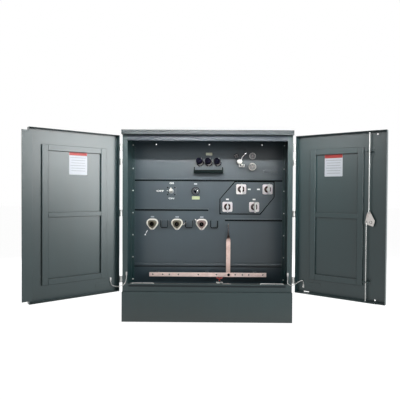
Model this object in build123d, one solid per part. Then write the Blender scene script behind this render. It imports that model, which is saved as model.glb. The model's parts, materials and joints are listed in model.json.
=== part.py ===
"""Pad-mounted three-phase transformer with both doors of its terminal compartment open.

Millimetres, +Z up, doors towards -Y, +X to the right when facing the doors.
The origin is on the ground, at the centre of the footprint of the cabinet and the tank.
"""
import os
from math import cos, radians, sin, tan

from build123d import *

# ---------------------------------------------------------------- driving sizes
cabinet_width = 1520.0
cabinet_depth = 400.0           # door frame's face to the tank's front plate
tank_depth = 700.0              # front plate's face to the tank's back wall
roof_top = 1712.0               # top of the roof's front edge above the ground
roof_skirt = 40.0
roof_rise = 12.0                # slope of the roof, front to back
roof_overhang = 50.0
sill_height = 268.0
sill_proud = 15.0               # sill's face in front of the door frame's face
sheet = 4.0                     # cabinet sheet steel
thin_sheet = 3.0                # doors and sill
weld_gap = 0.2                  # between bars that are welded end to side
tank_wall = 8.0
plate_thickness = 10.0          # tank's front plate
tank_side_inset = 50.0          # tank's side walls inside the cabinet's side faces
tank_corner = 60.0

jamb_width = 45.0
jamb_return = 30.0
rear_flange = 28.0
header_height = 49.0
header_depth = 36.0
ledge_height = 70.0
ledge_depth = 50.0

left_door_angle = 141.5         # how far the doors stand open
right_door_angle = 146.5
door_depth = 56.0
door_top_gap = 6.0              # door to roof skirt
door_bottom_gap = 5.0           # door to sill
door_face_gap = 12.0            # door flange tips to the door frame
door_middle_gap = 5.0           # between the closed doors
lip_width = 50.0                # strip on the left door, behind the right one
lip_short = 27.0                # lip ends short of the door, top and bottom
lip_thickness = 3.0
lip_clearance = 6.0

hinge_barrel = 10.0             # radius
hinge_pin = 5.0                 # radius
hinge_running = 0.08            # radial clearance of the pin
hinge_gap = 2.0                 # barrel to the cabinet's side face
hinge_half = 29.0
hinge_leaf = 4.0
hinge_leaf_reach = 44.0

front = -(cabinet_depth + tank_depth) / 2
plate_y = front + cabinet_depth
tank_back = front + cabinet_depth + tank_depth
half_width = cabinet_width / 2
roof_bottom = roof_top - roof_skirt
door_top = roof_bottom - door_top_gap
door_bottom = sill_height + door_bottom_gap
tip_y = front - door_face_gap
door_back_y = tip_y - door_depth
hinge_x = half_width + hinge_gap + hinge_barrel
hinge_y = front - 6.0
hinge_levels = [door_top - 108, door_top - 233, door_top - 692, door_bottom + 108]
door_edge = hinge_x - hinge_barrel      # outer face of the door's hinge-side flange

nodes = {}


# ---------------------------------------------------------------- helpers
def block(x0, x1, y0, y1, z0, z1):
    """Box between two corners."""
    size = Box(x1 - x0, y1 - y0, z1 - z0)
    return Pos((x0 + x1) / 2, (y0 + y1) / 2, (z0 + z1) / 2) * size


def disc(x, z, radius, y0, y1):
    """Round bar along Y, centred on (x, z)."""
    bar = Cylinder(radius, abs(y1 - y0), rotation=(90, 0, 0))
    return Pos(x, (y0 + y1) / 2, z) * bar


def post(x, y, radius, z0, z1):
    """Round bar along Z."""
    return Pos(x, y, (z0 + z1) / 2) * Cylinder(radius, z1 - z0)


def turned(x, z, outline):
    """Solid of revolution standing off the front plate: points are (radius, distance)."""
    points = [(radius, -reach) for radius, reach in outline]
    profile = make_face(Polyline(*points, close=True))
    return Pos(x, plate_y, z) * revolve(profile, Axis.Y)


def wall_plate(points, y0, y1):
    """Flat plate whose outline is (x, z) points, from y0 to the larger y1."""
    face = Plane.XZ * make_face(Polyline(*points, close=True))
    return Pos(0, y1, 0) * extrude(face, y1 - y0)


def mirrored(shape):
    return mirror(shape, about=Plane.YZ)


def save(name, *shapes):
    """Write one node; several solids go into it as they are."""
    solids = [solid for shape in shapes for solid in shape.solids()]
    shape = solids[0] if len(solids) == 1 else Compound(children=solids)
    nodes[name] = shape
    export_step(shape, os.path.join("parts", name + ".step"))


def open_left(shape):
    """Swing something modelled on the closed left door to its open place."""
    return shape.rotate(Axis((-hinge_x, hinge_y, 0), (0, 0, 1)), -left_door_angle)


def open_right(shape):
    return shape.rotate(Axis((hinge_x, hinge_y, 0), (0, 0, 1)), right_door_angle)


# ---------------------------------------------------------------- tank
skid_height = 60.0
skid_width = 80.0
skid_inset = 156.0
tank_top = roof_bottom - 40.0
tank_half = half_width - tank_side_inset


def tank_shell():
    """Open box with round back corners: floor, two sides and the back."""
    front_face = plate_y + plate_thickness
    outer = block(-tank_half, tank_half, front_face, tank_back, skid_height, tank_top)
    back_edges = outer.edges().filter_by(Axis.Z).group_by(Axis.Y)[-1]
    outer = fillet(back_edges, tank_corner)
    inner = block(-tank_half + tank_wall, tank_half - tank_wall, front_face - 1,
                  tank_back - tank_wall, skid_height + tank_wall, tank_top + 1)
    inner_edges = inner.edges().filter_by(Axis.Z).group_by(Axis.Y)[-1]
    inner = fillet(inner_edges, tank_corner - tank_wall)
    return outer - inner


cover_thickness = 8.0
cover_overhang = 18.0
hatch_radius = 150.0
cover_rib_inset = 142.0


def tank_cover():
    """Welded cover with a stiffening rib and the hand-hole lid on it."""
    reach = tank_half + cover_overhang
    plate = block(-reach, reach, plate_y + plate_thickness, tank_back + cover_overhang,
                  tank_top, tank_top + cover_thickness)
    corner = plate.edges().filter_by(Axis.Z).group_by(Axis.Y)[-1]
    plate = fillet(corner, tank_corner + cover_overhang)
    rib = block(cover_rib_inset - tank_half, tank_half - cover_rib_inset, -10, 30,
                tank_top + cover_thickness, tank_top + cover_thickness + 22)
    return plate + chamfer(rib.edges().group_by(Axis.Z)[-1], 8) + hatch()


def hatch():
    """Round hand-hole lid on its bolting ring."""
    base = tank_top + cover_thickness
    y = (30 + tank_back) / 2
    ring = post(0, y, hatch_radius, base, base + 18)
    boss = post(0, y, hatch_radius - 45, base + 18, base + 26)
    return ring + boss


def base_frame():
    """Skids along Y, tied by cross members; the middle one crosses the origin."""
    long = [block(x - skid_width / 2, x + skid_width / 2, plate_y + plate_thickness, tank_back,
                  0, skid_height)
            for x in (skid_inset - tank_half, tank_half - skid_inset)]
    inner = tank_half - skid_inset - skid_width / 2 - weld_gap
    cross = [block(-inner, inner, y - skid_width / 2, y + skid_width / 2, 0, skid_height)
             for y in (0, tank_back - 110)]
    return long + cross


def front_plate():
    """Tank's front plate, wider than the tank: the cabinet bolts to its edge."""
    return block(-half_width, half_width, plate_y, plate_y + plate_thickness, 0, roof_bottom)


rib_depth = 14.0
rib_height = 12.0


def plate_ribs():
    """Pressed stiffening beads across the front plate."""
    inside = half_width - sheet - rear_flange

    def bead(x0, x1, z, height=rib_height):
        bar = block(x0, x1, plate_y - rib_depth, plate_y, z - height / 2, z + height / 2)
        return fillet(bar.edges().group_by(Axis.Y)[0], height * 0.4)

    return [bead(-inside, inside, roof_bottom - 381),
            bead(-inside, 0, roof_bottom - 674),
            bead(165, inside, roof_bottom - 773),
            bead(-inside, inside, 445, 30)]


lug_radius = 16.0
lug_thickness = 16.0
lug_levels = tank_top - 90.0


def lifting_lug(x, y):
    """Ear on the tank's side wall, with a shackle hole along Y."""
    outline = [(0, -60), (0, 60), (30, 60), (70, 25), (70, -10), (40, -60)]
    side = 1 if x > 0 else -1
    points = [(x + side * u, lug_levels + v) for u, v in outline]
    ear = wall_plate(points, y - lug_thickness / 2, y + lug_thickness / 2)
    return ear - disc(x + side * 40, lug_levels + 12, lug_radius, y - lug_thickness, y + lug_thickness)


# ---------------------------------------------------------------- radiators
radiator_panels = 8
radiator_pitch = 62.0
radiator_depth = 230.0
radiator_gap = 60.0             # tank's back wall to the panels
radiator_thickness = 14.0
radiator_channels = 3
radiator_low = 330.0
radiator_high = tank_top - 130.0
radiator_centre = 350.0
collector_radius = 26.0
collector_seat = 3.0            # depth of the flat on the collector pipe
neck_radius = 20.0
neck_inset = 96.0


def radiator_panel(x):
    """Pressed two-sheet panel: oil channels between flat seams, closed above and below."""
    y0 = tank_back + radiator_gap
    pitch = radiator_depth / radiator_channels
    near = []
    for number in range(radiator_channels):
        start = y0 + pitch * number
        near += [(x + 2, start + 6), (x + radiator_thickness / 2, start + 16),
                 (x + radiator_thickness / 2, start + pitch - 16), (x + 2, start + pitch - 6)]
    near = [(x + 2, y0)] + near + [(x + 2, y0 + radiator_depth)]
    far = [(2 * x - px, py) for px, py in reversed(near)]
    channels = make_face(Polyline(*near, *far, close=True))
    channels = Pos(0, 0, radiator_low + 26) * extrude(channels, radiator_high - radiator_low - 52)
    return channels + block(x - 2, x + 2, y0, y0 + radiator_depth, radiator_low, radiator_high)


def collector(x0, z):
    """Collector pipe of one bank, flattened where the panels are welded on, with two necks."""
    reach = (radiator_panels - 1) * radiator_pitch / 2 + 26
    seat = tank_back + radiator_gap
    y = seat - collector_radius + collector_seat
    pipe = Pos(x0, y, z) * Cylinder(collector_radius, 2 * reach, rotation=(0, 90, 0))
    pipe -= block(x0 - reach - 1, x0 + reach + 1, seat, seat + collector_radius, z - collector_radius,
                  z + collector_radius)
    for side in (-1, 1):
        pipe += disc(x0 + side * (reach - neck_inset), z, neck_radius, tank_back, y)
    return pipe


# ---------------------------------------------------------------- cabinet
side_outer = half_width
side_inner = half_width - sheet


def cabinet_side():
    """Right side sheet, folded into the door jamb in front and a bolting flange behind."""
    points = [
        (side_outer, front), (side_outer, plate_y), (side_outer - sheet - rear_flange, plate_y),
        (side_outer - sheet - rear_flange, plate_y - sheet), (side_inner, plate_y - sheet),
        (side_inner, front + sheet), (side_outer - jamb_width + sheet, front + sheet),
        (side_outer - jamb_width + sheet, front + jamb_return),
        (side_outer - jamb_width, front + jamb_return), (side_outer - jamb_width, front),
    ]
    return extrude(make_face(Polyline(*points, close=True)), roof_bottom)


opening_half = half_width - jamb_width


def header():
    """Bar over the doors: a C-section open towards the back."""
    z1 = roof_bottom
    z0 = z1 - header_height
    outer = block(-opening_half, opening_half, front, front + header_depth, z0, z1)
    inner = block(-opening_half, opening_half, front + sheet, front + header_depth + 1,
                  z0 + sheet, z1 - sheet)
    hole = disc(80, z0 + 14, 6, front - 1, front + sheet + 1)
    return outer - inner - hole


tab_width = 212.0
tab_height = 6.0


def ledge():
    """Bar under the doors, with a raised trapezoid stop near each end."""
    z0 = sill_height
    z1 = z0 + ledge_height
    outer = block(-opening_half, opening_half, front, front + ledge_depth, z0, z1)
    inner = block(-opening_half, opening_half, front + sheet, front + ledge_depth + 1,
                  z0 - 1, z1 - sheet)
    bar = outer - inner
    for side in (-1, 1):
        middle = side * (opening_half - 30 - tab_width / 2)
        low = tab_width / 2
        points = [(middle - low, z1), (middle - low + 14, z1 + tab_height),
                  (middle + low - 14, z1 + tab_height), (middle + low, z1)]
        bar += wall_plate(points, front + 8, front + 14)
    return bar


def sill():
    """Removable sill: front sheet with a top flange under the ledge and two side returns."""
    y0 = front - sill_proud
    outer = block(-half_width - thin_sheet, half_width + thin_sheet, y0, front + 110, 0, sill_height)
    inner = block(-half_width, half_width, y0 + thin_sheet, front + 111, -1, sill_height + 1)
    flange = block(-half_width, half_width, y0 + thin_sheet, front, sill_height - thin_sheet, sill_height)
    return outer - inner + flange


roof_lap = 45.0                 # roof over the front plate and the tank cover


def roof():
    """Folded cap with a sloping top, skirts and a seating flange all round."""
    y0 = front - roof_overhang
    y1 = plate_y + plate_thickness + roof_lap
    half = half_width + 1
    points = [(y0, roof_bottom), (y1, roof_bottom), (y1, roof_top + roof_rise), (y0, roof_top)]
    side = Plane.YZ * make_face(Polyline(*points, close=True))
    outer = Pos(-half, 0, 0) * extrude(side, 2 * half)
    outer = fillet(outer.edges().filter_by(Axis.X).group_by(Axis.Z)[-1], 5)
    points = [(y0 + thin_sheet, roof_bottom + thin_sheet), (y1 - thin_sheet, roof_bottom + thin_sheet),
              (y1 - thin_sheet, roof_top + roof_rise - thin_sheet), (y0 + thin_sheet, roof_top - thin_sheet)]
    side = Plane.YZ * make_face(Polyline(*points, close=True))
    inner = Pos(-half + thin_sheet, 0, 0) * extrude(side, 2 * (half - thin_sheet))
    mouth = block(-opening_half + 20, opening_half - 20, front + header_depth, plate_y - 30,
                  roof_bottom - 1, roof_bottom + thin_sheet + 1)
    return outer - inner - mouth


# ---------------------------------------------------------------- doors
frame_depth = 20.0
frame_top = 125.0
frame_bottom = 129.0
frame_bar = 48.0
frame_mid = 40.0
frame_wall = 2.0
left_frame_margins = (110.0, 106.5)     # stiffener to the door's hinge side and free edge
right_frame_margins = (122.0, 184.5)


vent_holes = [(82.0, 1641.0), (88.0, 293.0)]
vent_radius = 6.0
drain_slot = (647.0, 697.0, 284.0)      # ends and level
drain_half = 3.5


def right_panel_holes():
    """Round holes by the free edge and a drain slot near the hinge, through the panel."""
    y0 = door_back_y - 1
    y1 = door_back_y + thin_sheet + 1
    cuts = [disc(x, z, vent_radius, y0, y1) for x, z in vent_holes]
    start, end, level = drain_slot
    cuts.append(block(start, end, y0, y1, level - drain_half, level + drain_half))
    return cuts


def door_pan(tip_cut):
    """Right door, closed: folded sheet pan.  The free flange is cut back by tip_cut."""
    x0 = door_middle_gap / 2
    outer = block(x0, door_edge, door_back_y, tip_y, door_bottom, door_top)
    outer = fillet(outer.edges().group_by(Axis.Y)[0], 4)
    inner = block(x0 + thin_sheet, door_edge - thin_sheet, door_back_y + thin_sheet, tip_y + 1,
                  door_bottom + thin_sheet, door_top - thin_sheet)
    pan = outer - inner
    if tip_cut > 0:
        pan -= block(x0 - 1, x0 + lip_width + 12, tip_y - tip_cut, tip_y + 1, door_bottom - 1, door_top + 1)
    return pan


def stiffener(margins):
    """Hat-section frame with a middle bar: five welded lengths, open towards the panel."""
    y1 = door_back_y + thin_sheet
    x0 = door_middle_gap / 2 + margins[1]
    x1 = door_edge - margins[0]
    z0 = door_bottom + frame_bottom
    z1 = door_top - frame_top
    middle = (z0 + z1) / 2

    def hat(a, b, c, d):
        outer = block(a, b, y1, y1 + frame_depth, c, d)
        outer = chamfer(outer.edges().group_by(Axis.Y)[-1], frame_wall)
        inner = block(a + frame_wall, b - frame_wall, y1 - 1, y1 + frame_depth - frame_wall,
                      c + frame_wall, d - frame_wall)
        return outer - inner

    left = x0 + frame_bar + weld_gap
    right = x1 - frame_bar - weld_gap
    return [hat(x0, x0 + frame_bar, z0, z1), hat(x1 - frame_bar, x1, z0, z1),
            hat(left, right, z0, z0 + frame_bar), hat(left, right, z1 - frame_bar, z1),
            hat(left, right, middle - frame_mid / 2, middle + frame_mid / 2)]


def lip():
    """Strip along the left door's free edge, seated on its flange tips (mirrored later)."""
    x0 = door_middle_gap / 2
    strip = block(x0 - lip_width - door_middle_gap, x0 + 24, tip_y, tip_y + lip_thickness,
                  door_bottom + lip_short, door_top - lip_short)
    return strip


knuckle = 2 * hinge_half / 3
knuckle_play = 0.3


def hinge_fixed(z):
    """Cabinet leaf of one hinge, right side: notched leaf, two outer knuckles and the pin between."""
    y0 = hinge_y
    y1 = hinge_y + hinge_barrel + 2
    y2 = hinge_y + hinge_leaf_reach
    low, high = z - hinge_half, z + hinge_half
    notch = knuckle / 2
    outline = [(y0, low), (y2, low), (y2, high), (y0, high), (y0, z + notch), (y1, z + notch),
               (y1, z - notch), (y0, z - notch)]
    leaf = Plane.YZ * make_face(Polyline(*outline, close=True))
    body = Pos(half_width, 0, 0) * extrude(leaf, hinge_leaf)
    for z0 in (low, z + notch):
        body += post(hinge_x, hinge_y, hinge_barrel, z0, z0 + knuckle)
    return body + post(hinge_x, hinge_y, hinge_pin, z - notch, z + notch)


def hinge_moving(z):
    """Door leaf with the middle knuckle, on the closed right door."""
    z0 = z - knuckle / 2 + knuckle_play
    z1 = z + knuckle / 2 - knuckle_play
    y1 = tip_y - 5
    y2 = tip_y - hinge_leaf_reach
    low, high = z - hinge_half, z + hinge_half
    outline = [(y1, low), (y1, z0), (hinge_y, z0), (hinge_y, z1), (y1, z1), (y1, high), (y2, high), (y2, low)]
    leaf = Plane.YZ * make_face(Polyline(*outline, close=True))
    body = Pos(door_edge, 0, 0) * extrude(leaf, hinge_leaf)
    barrel = post(hinge_x, hinge_y, hinge_barrel, z0, z1)
    return body + barrel - post(hinge_x, hinge_y, hinge_pin + hinge_running, z0 - 1, z1 + 1)


# ---------------------------------------------------------------- latch
latch_x = 120.0                 # cam's axis on the closed right door
latch_z = door_top - 738
rod_radius = 4.5
cam_thickness = 5.0
cam_y = door_back_y + thin_sheet + 30.0     # cam's face towards the panel
rod_y = cam_y + cam_thickness + 0.5 + rod_radius
upper_pin = (16.0, 75.0)        # from the cam's axis, towards the hinge and up
lower_pin = (35.0, 4.0)
shaft_radius = 8.0
pin_radius = 4.0
nut_radius = 8.5                # small enough to pass the lower rod when the cam has turned
guide_top = door_top - 163.0
guide_bottom = door_bottom + 167.0
rod_end_gap = 8.0               # rod ends to the door's flanges


def cam():
    """Cam plate on the handle's shaft, with the two rod pins."""
    outline = [(10, 92), (31, 71), (37, 36), (47, -13), (-18, -35), (-31, 10)]
    points = [(latch_x + u, latch_z + v) for u, v in outline]
    plate = wall_plate(points, cam_y, cam_y + cam_thickness)
    plate = chamfer(plate.edges().filter_by(Axis.Y), 5)
    nut = Plane.XZ * RegularPolygon(nut_radius, 6)
    nut = Pos(latch_x, cam_y + cam_thickness + 6, latch_z) * extrude(nut, 6)
    body = plate + nut
    for u, v in (upper_pin, lower_pin):
        pin = disc(latch_x + u, latch_z + v, pin_radius, cam_y + cam_thickness, rod_y + rod_radius + 3)
        body += pin
    return body


def latch_handle():
    """Shaft through the panel, collar and the lever outside."""
    face = door_back_y
    shaft = disc(latch_x, latch_z, shaft_radius, face - 22, cam_y)
    collar = disc(latch_x, latch_z, 20, face - 12, face - 6)
    lever = wall_plate([(latch_x - 13, latch_z + 13), (latch_x + 13, latch_z + 13),
                        (latch_x + 9, latch_z - 150), (latch_x - 9, latch_z - 150)], face - 30, face - 20)
    lever = chamfer(lever.edges().filter_by(Axis.Y), 5)
    return shaft + collar + lever


def rod(pin, far_z):
    """Latch rod with an eye on its cam pin; the far end runs in a guide."""
    px = latch_x + pin[0]
    pz = latch_z + pin[1]
    up = 1 if far_z > pz else -1
    eye = disc(px, pz, 9, rod_y - 3.5, rod_y + 3.5)
    start = pz + up * 7
    bar = post(px, rod_y, rod_radius, min(start, far_z), max(start, far_z))
    bore = disc(px, pz, pin_radius + 0.08, rod_y - 10, rod_y + 10)
    return eye + bar - bore


def rod_guide(x, z, height):
    """Bracket on the panel with a slot across for the rod."""
    y1 = door_back_y + thin_sheet
    foot = block(x - 30, x + 30, y1, y1 + 3, z - height / 2, z + height / 2)
    arm = block(x - 22, x + 22, y1 + 3, rod_y + rod_radius + 10, z - 3, z + 3)
    slot = block(x - rod_radius - 5, x + rod_radius + 5, rod_y - rod_radius - 1.5,
                 rod_y + rod_radius + 1.5, z - 10, z + 10)
    return foot + arm - slot


# ---------------------------------------------------------------- low-voltage side
lv_plate_thickness = 12.0
lv_top = roof_bottom - 407.0
lv_centres = [(322.0, lv_top - 69.0), (582.0, lv_top - 69.0), (188.0, lv_top - 243.0),
              (451.0, lv_top - 243.0)]
lv_flange = 98.0
lv_body_length = 46.0
spade_reach = 165.0
spade_hole = 7.15
spade_pitch = 44.45
spade_length = 100.0
spade_height = 100.0
spade_thickness = 10.0


def lv_plate():
    """Bushing plate with two clipped corners."""
    points = [(264, lv_top), (643, lv_top), (643, lv_top - 145), (509, lv_top - 309),
              (119, lv_top - 309), (119, lv_top - 166)]
    plate = wall_plate(points, plate_y - lv_plate_thickness, plate_y)
    return fillet(plate.edges().filter_by(Axis.Y), 10)


def lv_clamp(x, z):
    """Square clamping flange round the bushing's foot."""
    half = lv_flange / 2
    y1 = plate_y - lv_plate_thickness
    flange = block(x - half, x + half, y1 - 14, y1, z - half, z + half)
    flange = fillet(flange.edges().filter_by(Axis.Y), 14)
    return flange - disc(x, z, 34.2, y1 - 20, y1 + 5)


def lv_body(x, z):
    """Epoxy bushing: foot, shed and a shoulder for the stud."""
    base = lv_plate_thickness
    end = base + lv_body_length
    outline = [(0, base), (34, base), (34, base + 18), (27, base + 22), (32, base + 28), (32, base + 33),
               (25, end - 4), (20, end), (0, end)]
    return turned(x, z, outline)


def lv_spade(x, z):
    """Stud and vertical four-hole spade."""
    near = plate_y - lv_plate_thickness - lv_body_length
    tip = plate_y - spade_reach
    stud = disc(x, z, 15, tip + spade_length, near)
    pad = block(x - spade_thickness / 2, x + spade_thickness / 2, tip, tip + spade_length,
                z - spade_height / 2, z + spade_height / 2)
    pad = chamfer(pad.edges().filter_by(Axis.X), 4)
    body = stud + pad
    middle = tip + spade_length / 2 - 3
    for dy in (-spade_pitch / 2, spade_pitch / 2):
        for dz in (-spade_pitch / 2, spade_pitch / 2):
            hole = Pos(x, middle + dy, z + dz) * Cylinder(spade_hole, 40, rotation=(0, 90, 0))
            body -= hole
    return body


# ---------------------------------------------------------------- high-voltage side
hv_level = roof_bottom - 822.0
hv_xs = [-554.0, -309.0, -65.0]
well_reach = 62.0


def hv_well(x):
    """Bushing well: flared cup with a contact stud."""
    outline = [(0, 0), (44, 0), (44, 14), (38, well_reach), (27, well_reach), (20, 14), (6, 14), (6, 46),
               (0, 46)]
    return turned(x, hv_level, outline)


def hv_clamp(x):
    """Rounded-triangle clamping ring."""
    corner = 36.0
    reach = 28.0
    bosses = [Pos(reach * sin(radians(a)), reach * cos(radians(a))) * Circle(corner) for a in (60, 180, 300)]
    ring = Plane.XZ * make_hull([edge for boss in bosses for edge in boss.edges()])
    ring = Pos(x, plate_y, hv_level) * extrude(ring, 9)
    return ring - disc(x, hv_level, 44.2, plate_y - 20, plate_y + 5)


pocket_xs = [-430.0, -187.0, 59.0]
pocket_wall = 5.0
pocket_half = 38.0
pocket_depth = 45.0


def parking_pocket(x):
    """U-shaped pocket, open upwards, that parks a cable elbow."""
    z = hv_level
    outer = block(x - pocket_half, x + pocket_half, plate_y - pocket_depth, plate_y, z - pocket_half,
                  z + pocket_half)
    outer = fillet(outer.edges().filter_by(Axis.Y).group_by(Axis.Z)[0], 12)
    inner = block(x - pocket_half + pocket_wall, x + pocket_half - pocket_wall, plate_y - pocket_depth - 1,
                  plate_y - pocket_wall, z - pocket_half + pocket_wall, z + pocket_half + 1)
    inner = fillet(inner.edges().filter_by(Axis.Y).group_by(Axis.Z)[0], 12 - pocket_wall)
    return outer - inner


# ---------------------------------------------------------------- fittings on the front plate
fuse_level = roof_bottom - 212.0
fuse_xs = [-84.0, 2.0, 90.0]


def fuse(x):
    """Bayonet fuse holder: threaded body, knurled cap and pull eye."""
    outline = [(0, 0), (38, 0), (38, 8), (28, 12), (28, 40), (31, 44), (31, 84), (24, 92), (0, 92)]
    body = turned(x, fuse_level, outline)
    reach = plate_y - 92
    eye = block(x - 3, x + 3, reach - 26, reach, fuse_level - 12, fuse_level + 12)
    eye = chamfer(eye.edges().filter_by(Axis.X).group_by(Axis.Y)[0], 5)
    eye -= Pos(x, reach - 14, fuse_level) * Cylinder(7, 20, rotation=(0, 90, 0))
    return body + eye


tray_half = 142.0
tray_low = roof_bottom - 323.0
tray_wall = 2.0
tray_depth = 80.0


def drip_tray():
    """Folded tray under the fuses, with taller end walls."""
    outline = [(-tray_half, tray_low), (tray_half, tray_low), (tray_half, tray_low + 33),
               (-tray_half, tray_low + 33)]
    body = wall_plate(outline, plate_y - tray_depth, plate_y)
    for side in (-1, 1):
        x = side * (tray_half - tray_wall / 2)
        body += block(x - tray_wall / 2, x + tray_wall / 2, plate_y - 40, plate_y, tray_low, tray_low + 62)
    hollow = block(-tray_half + tray_wall, tray_half - tray_wall, plate_y - tray_depth + tray_wall,
                   plate_y - tray_wall, tray_low + tray_wall, tray_low + 80)
    return body - hollow


def gauge(x, z, radius, reach):
    """Dial gauge: stem, case and raised bezel round a sunk dial."""
    outline = [(0, 0), (radius * 0.45, 0), (radius * 0.45, reach * 0.35), (radius, reach * 0.5),
               (radius, reach), (radius * 0.86, reach), (radius * 0.84, reach - 5), (0, reach - 5)]
    return turned(x, z, outline)


relief_x = 304.0
relief_z = roof_bottom - 205.0


def relief_valve():
    """Pressure relief valve: hexagon body, cap and pull lever."""
    body = Plane.XZ * RegularPolygon(22, 6)
    body = Pos(relief_x, plate_y, relief_z) * extrude(body, 24)
    cap = turned(relief_x, relief_z, [(0, 24), (24, 24), (24, 48), (18, 56), (0, 58)])
    return body + cap


switch_x = -367.0
switch_z = roof_bottom - 498.0


def switch_base():
    """Square plate and collar of the load-break switch."""
    half = 45.0
    plate = block(switch_x - half, switch_x + half, plate_y - 8, plate_y, switch_z - half, switch_z + half)
    plate = fillet(plate.edges().filter_by(Axis.Y), 8)
    collar = disc(switch_x, switch_z, 21, plate_y - 20, plate_y - 8)
    return plate + collar


def switch_handle():
    """Turning hub with a cross bar and an eye for the hook stick."""
    y1 = plate_y - 20.3
    hub = disc(switch_x, switch_z, 23, y1 - 26, y1)
    hub = chamfer(hub.edges().group_by(Axis.Y)[0], 5)
    bar = block(switch_x - 8, switch_x + 8, y1 - 44, y1 - 26, switch_z - 34, switch_z + 34)
    bar = chamfer(bar.edges().filter_by(Axis.X), 6)
    bar -= Pos(switch_x, y1 - 35, switch_z + 25) * Cylinder(5, 40, rotation=(0, 90, 0))
    return hub + bar


tap_x = -126.0
tap_z = switch_z


def tap_base():
    """Dial plate of the tap changer."""
    return turned(tap_x, tap_z, [(0, 0), (37, 0), (37, 8), (34, 11), (0, 11)])


def tap_knob():
    """Tap changer's knob with its pointer bar."""
    y1 = plate_y - 11.3
    hub = disc(tap_x, tap_z, 16, y1 - 22, y1)
    bar = block(tap_x - 6, tap_x + 6, y1 - 34, y1 - 10, tap_z - 20, tap_z + 28)
    bar = chamfer(bar.edges().filter_by(Axis.Y), 4)
    return hub + bar


holder_x = 614.0
holder_z = roof_bottom - 300.0
holder_half = 69.0


def holder():
    """Small open-topped pocket for papers."""
    x0 = holder_x - holder_half
    x1 = holder_x + holder_half
    outer = block(x0, x1, plate_y - 14, plate_y, holder_z - 14, holder_z + 14)
    inner = block(x0 + 2, x1 - 2, plate_y - 12, plate_y - 2, holder_z - 12, holder_z + 15)
    return outer - inner


# ---------------------------------------------------------------- grounding
bus_z = 367.0
bus_half_height = 20.0
bus_thickness = 6.0
bus_left = -566.0
bus_right = 566.0
bus_off = 100.0                 # bar's back face in front of the plate
bus_hole = 7.0
bus_hole_xs = [-533.0, -437.0, -372.0, -284.0, -91.0,
               84.0, 266.0, 335.0, 396.0, 533.0]


def ground_bus():
    """Copper bar with a row of bolt holes."""
    y1 = plate_y - bus_off
    bar = block(bus_left, bus_right, y1 - bus_thickness, y1, bus_z - bus_half_height, bus_z + bus_half_height)
    for x in bus_hole_xs:
        bar -= disc(x, bus_z, bus_hole, y1 - bus_thickness - 1, y1 + 1)
    return bar


standoff_xs = [-500.0, -10.0, 460.0]


def standoffs():
    """Welded brackets that carry the bar off the plate."""
    y1 = plate_y - bus_off
    return [block(x - 16, x + 16, y1, plate_y, bus_z - 16, bus_z + 16) for x in standoff_xs]


strap_x = 197.0
strap_width = 41.0
strap_thickness = 4.0
strap_top = hv_level + 5.0
strap_flat_top = strap_top - 152.0
strap_twist = 60.0
strap_turns = 5


def ground_strap():
    """Flat strap up from the bar, with a quarter twist before its lug on the plate."""
    y = plate_y - bus_off + strap_thickness / 2
    low = bus_z - bus_half_height
    flat = block(strap_x - strap_width / 2, strap_x + strap_width / 2, y - strap_thickness / 2,
                 y + strap_thickness / 2, low, strap_flat_top)
    sections = []
    for step in range(strap_turns + 1):
        share = step / strap_turns
        plane = Plane((strap_x, y, strap_flat_top + strap_twist * share)).rotated((0, 0, 90 * share))
        sections.append(plane * Rectangle(strap_width, strap_thickness))
    twist = loft(sections, ruled=True)
    edge_on = block(strap_x - strap_thickness / 2, strap_x + strap_thickness / 2, y - strap_width / 2,
                    y + strap_width / 2, strap_flat_top + strap_twist, strap_top)
    tail = block(strap_x - strap_thickness / 2, strap_x + strap_thickness / 2, y, plate_y, strap_top - 40,
                 strap_top)
    return flat + twist + edge_on + tail


valve_x = 113.0
valve_y = plate_y - 75.0
valve_z = 228.0
wheel_z = 331.0
wheel_radius = 33.0


def drain_valve():
    """Globe valve: pipe to the tank, body, outlet, bonnet and gland."""
    y0 = valve_y - 66
    outline = [(0, 0), (40, 0), (40, 12), (18, 12), (18, 50), (30, 60), (30, 90), (20, 100), (20, 127),
               (0, 127)]
    body = turned(valve_x, valve_z, outline)
    body += Pos(valve_x, y0 + 14, valve_z) * extrude(Plane.XZ * RegularPolygon(26, 6), 14)
    bonnet = [(0, 0), (16, 0), (16, 46), (32, 46), (32, 54), (12, 54), (12, 74), (0, 74)]
    bonnet = revolve(Plane.XZ * make_face(Polyline(*bonnet, close=True)), Axis.Z)
    body += Pos(valve_x, valve_y, valve_z) * bonnet
    for side in (-1, 1):
        nut = Pos(valve_x + side * 24, valve_y, valve_z + 54) * extrude(RegularPolygon(6, 6), 7)
        body += nut
    return body


def drain_wheel():
    """Handwheel: rim, three spokes and hub on the valve's stem."""
    rim = post(valve_x, valve_y, wheel_radius, wheel_z - 7, wheel_z + 7)
    rim = chamfer(rim.edges(), 3)
    rim -= post(valve_x, valve_y, wheel_radius - 10, wheel_z - 8, wheel_z + 8)
    hub = post(valve_x, valve_y, 11, valve_z + 74.3, wheel_z + 9)
    wheel = rim + hub
    for angle in (90, 210, 330):
        spoke = Pos(wheel_radius / 2 - 3, 0, 0) * Box(wheel_radius - 6, 9, 7)
        wheel += Pos(valve_x, valve_y, wheel_z) * Rot(0, 0, angle) * spoke
    return wheel


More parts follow.
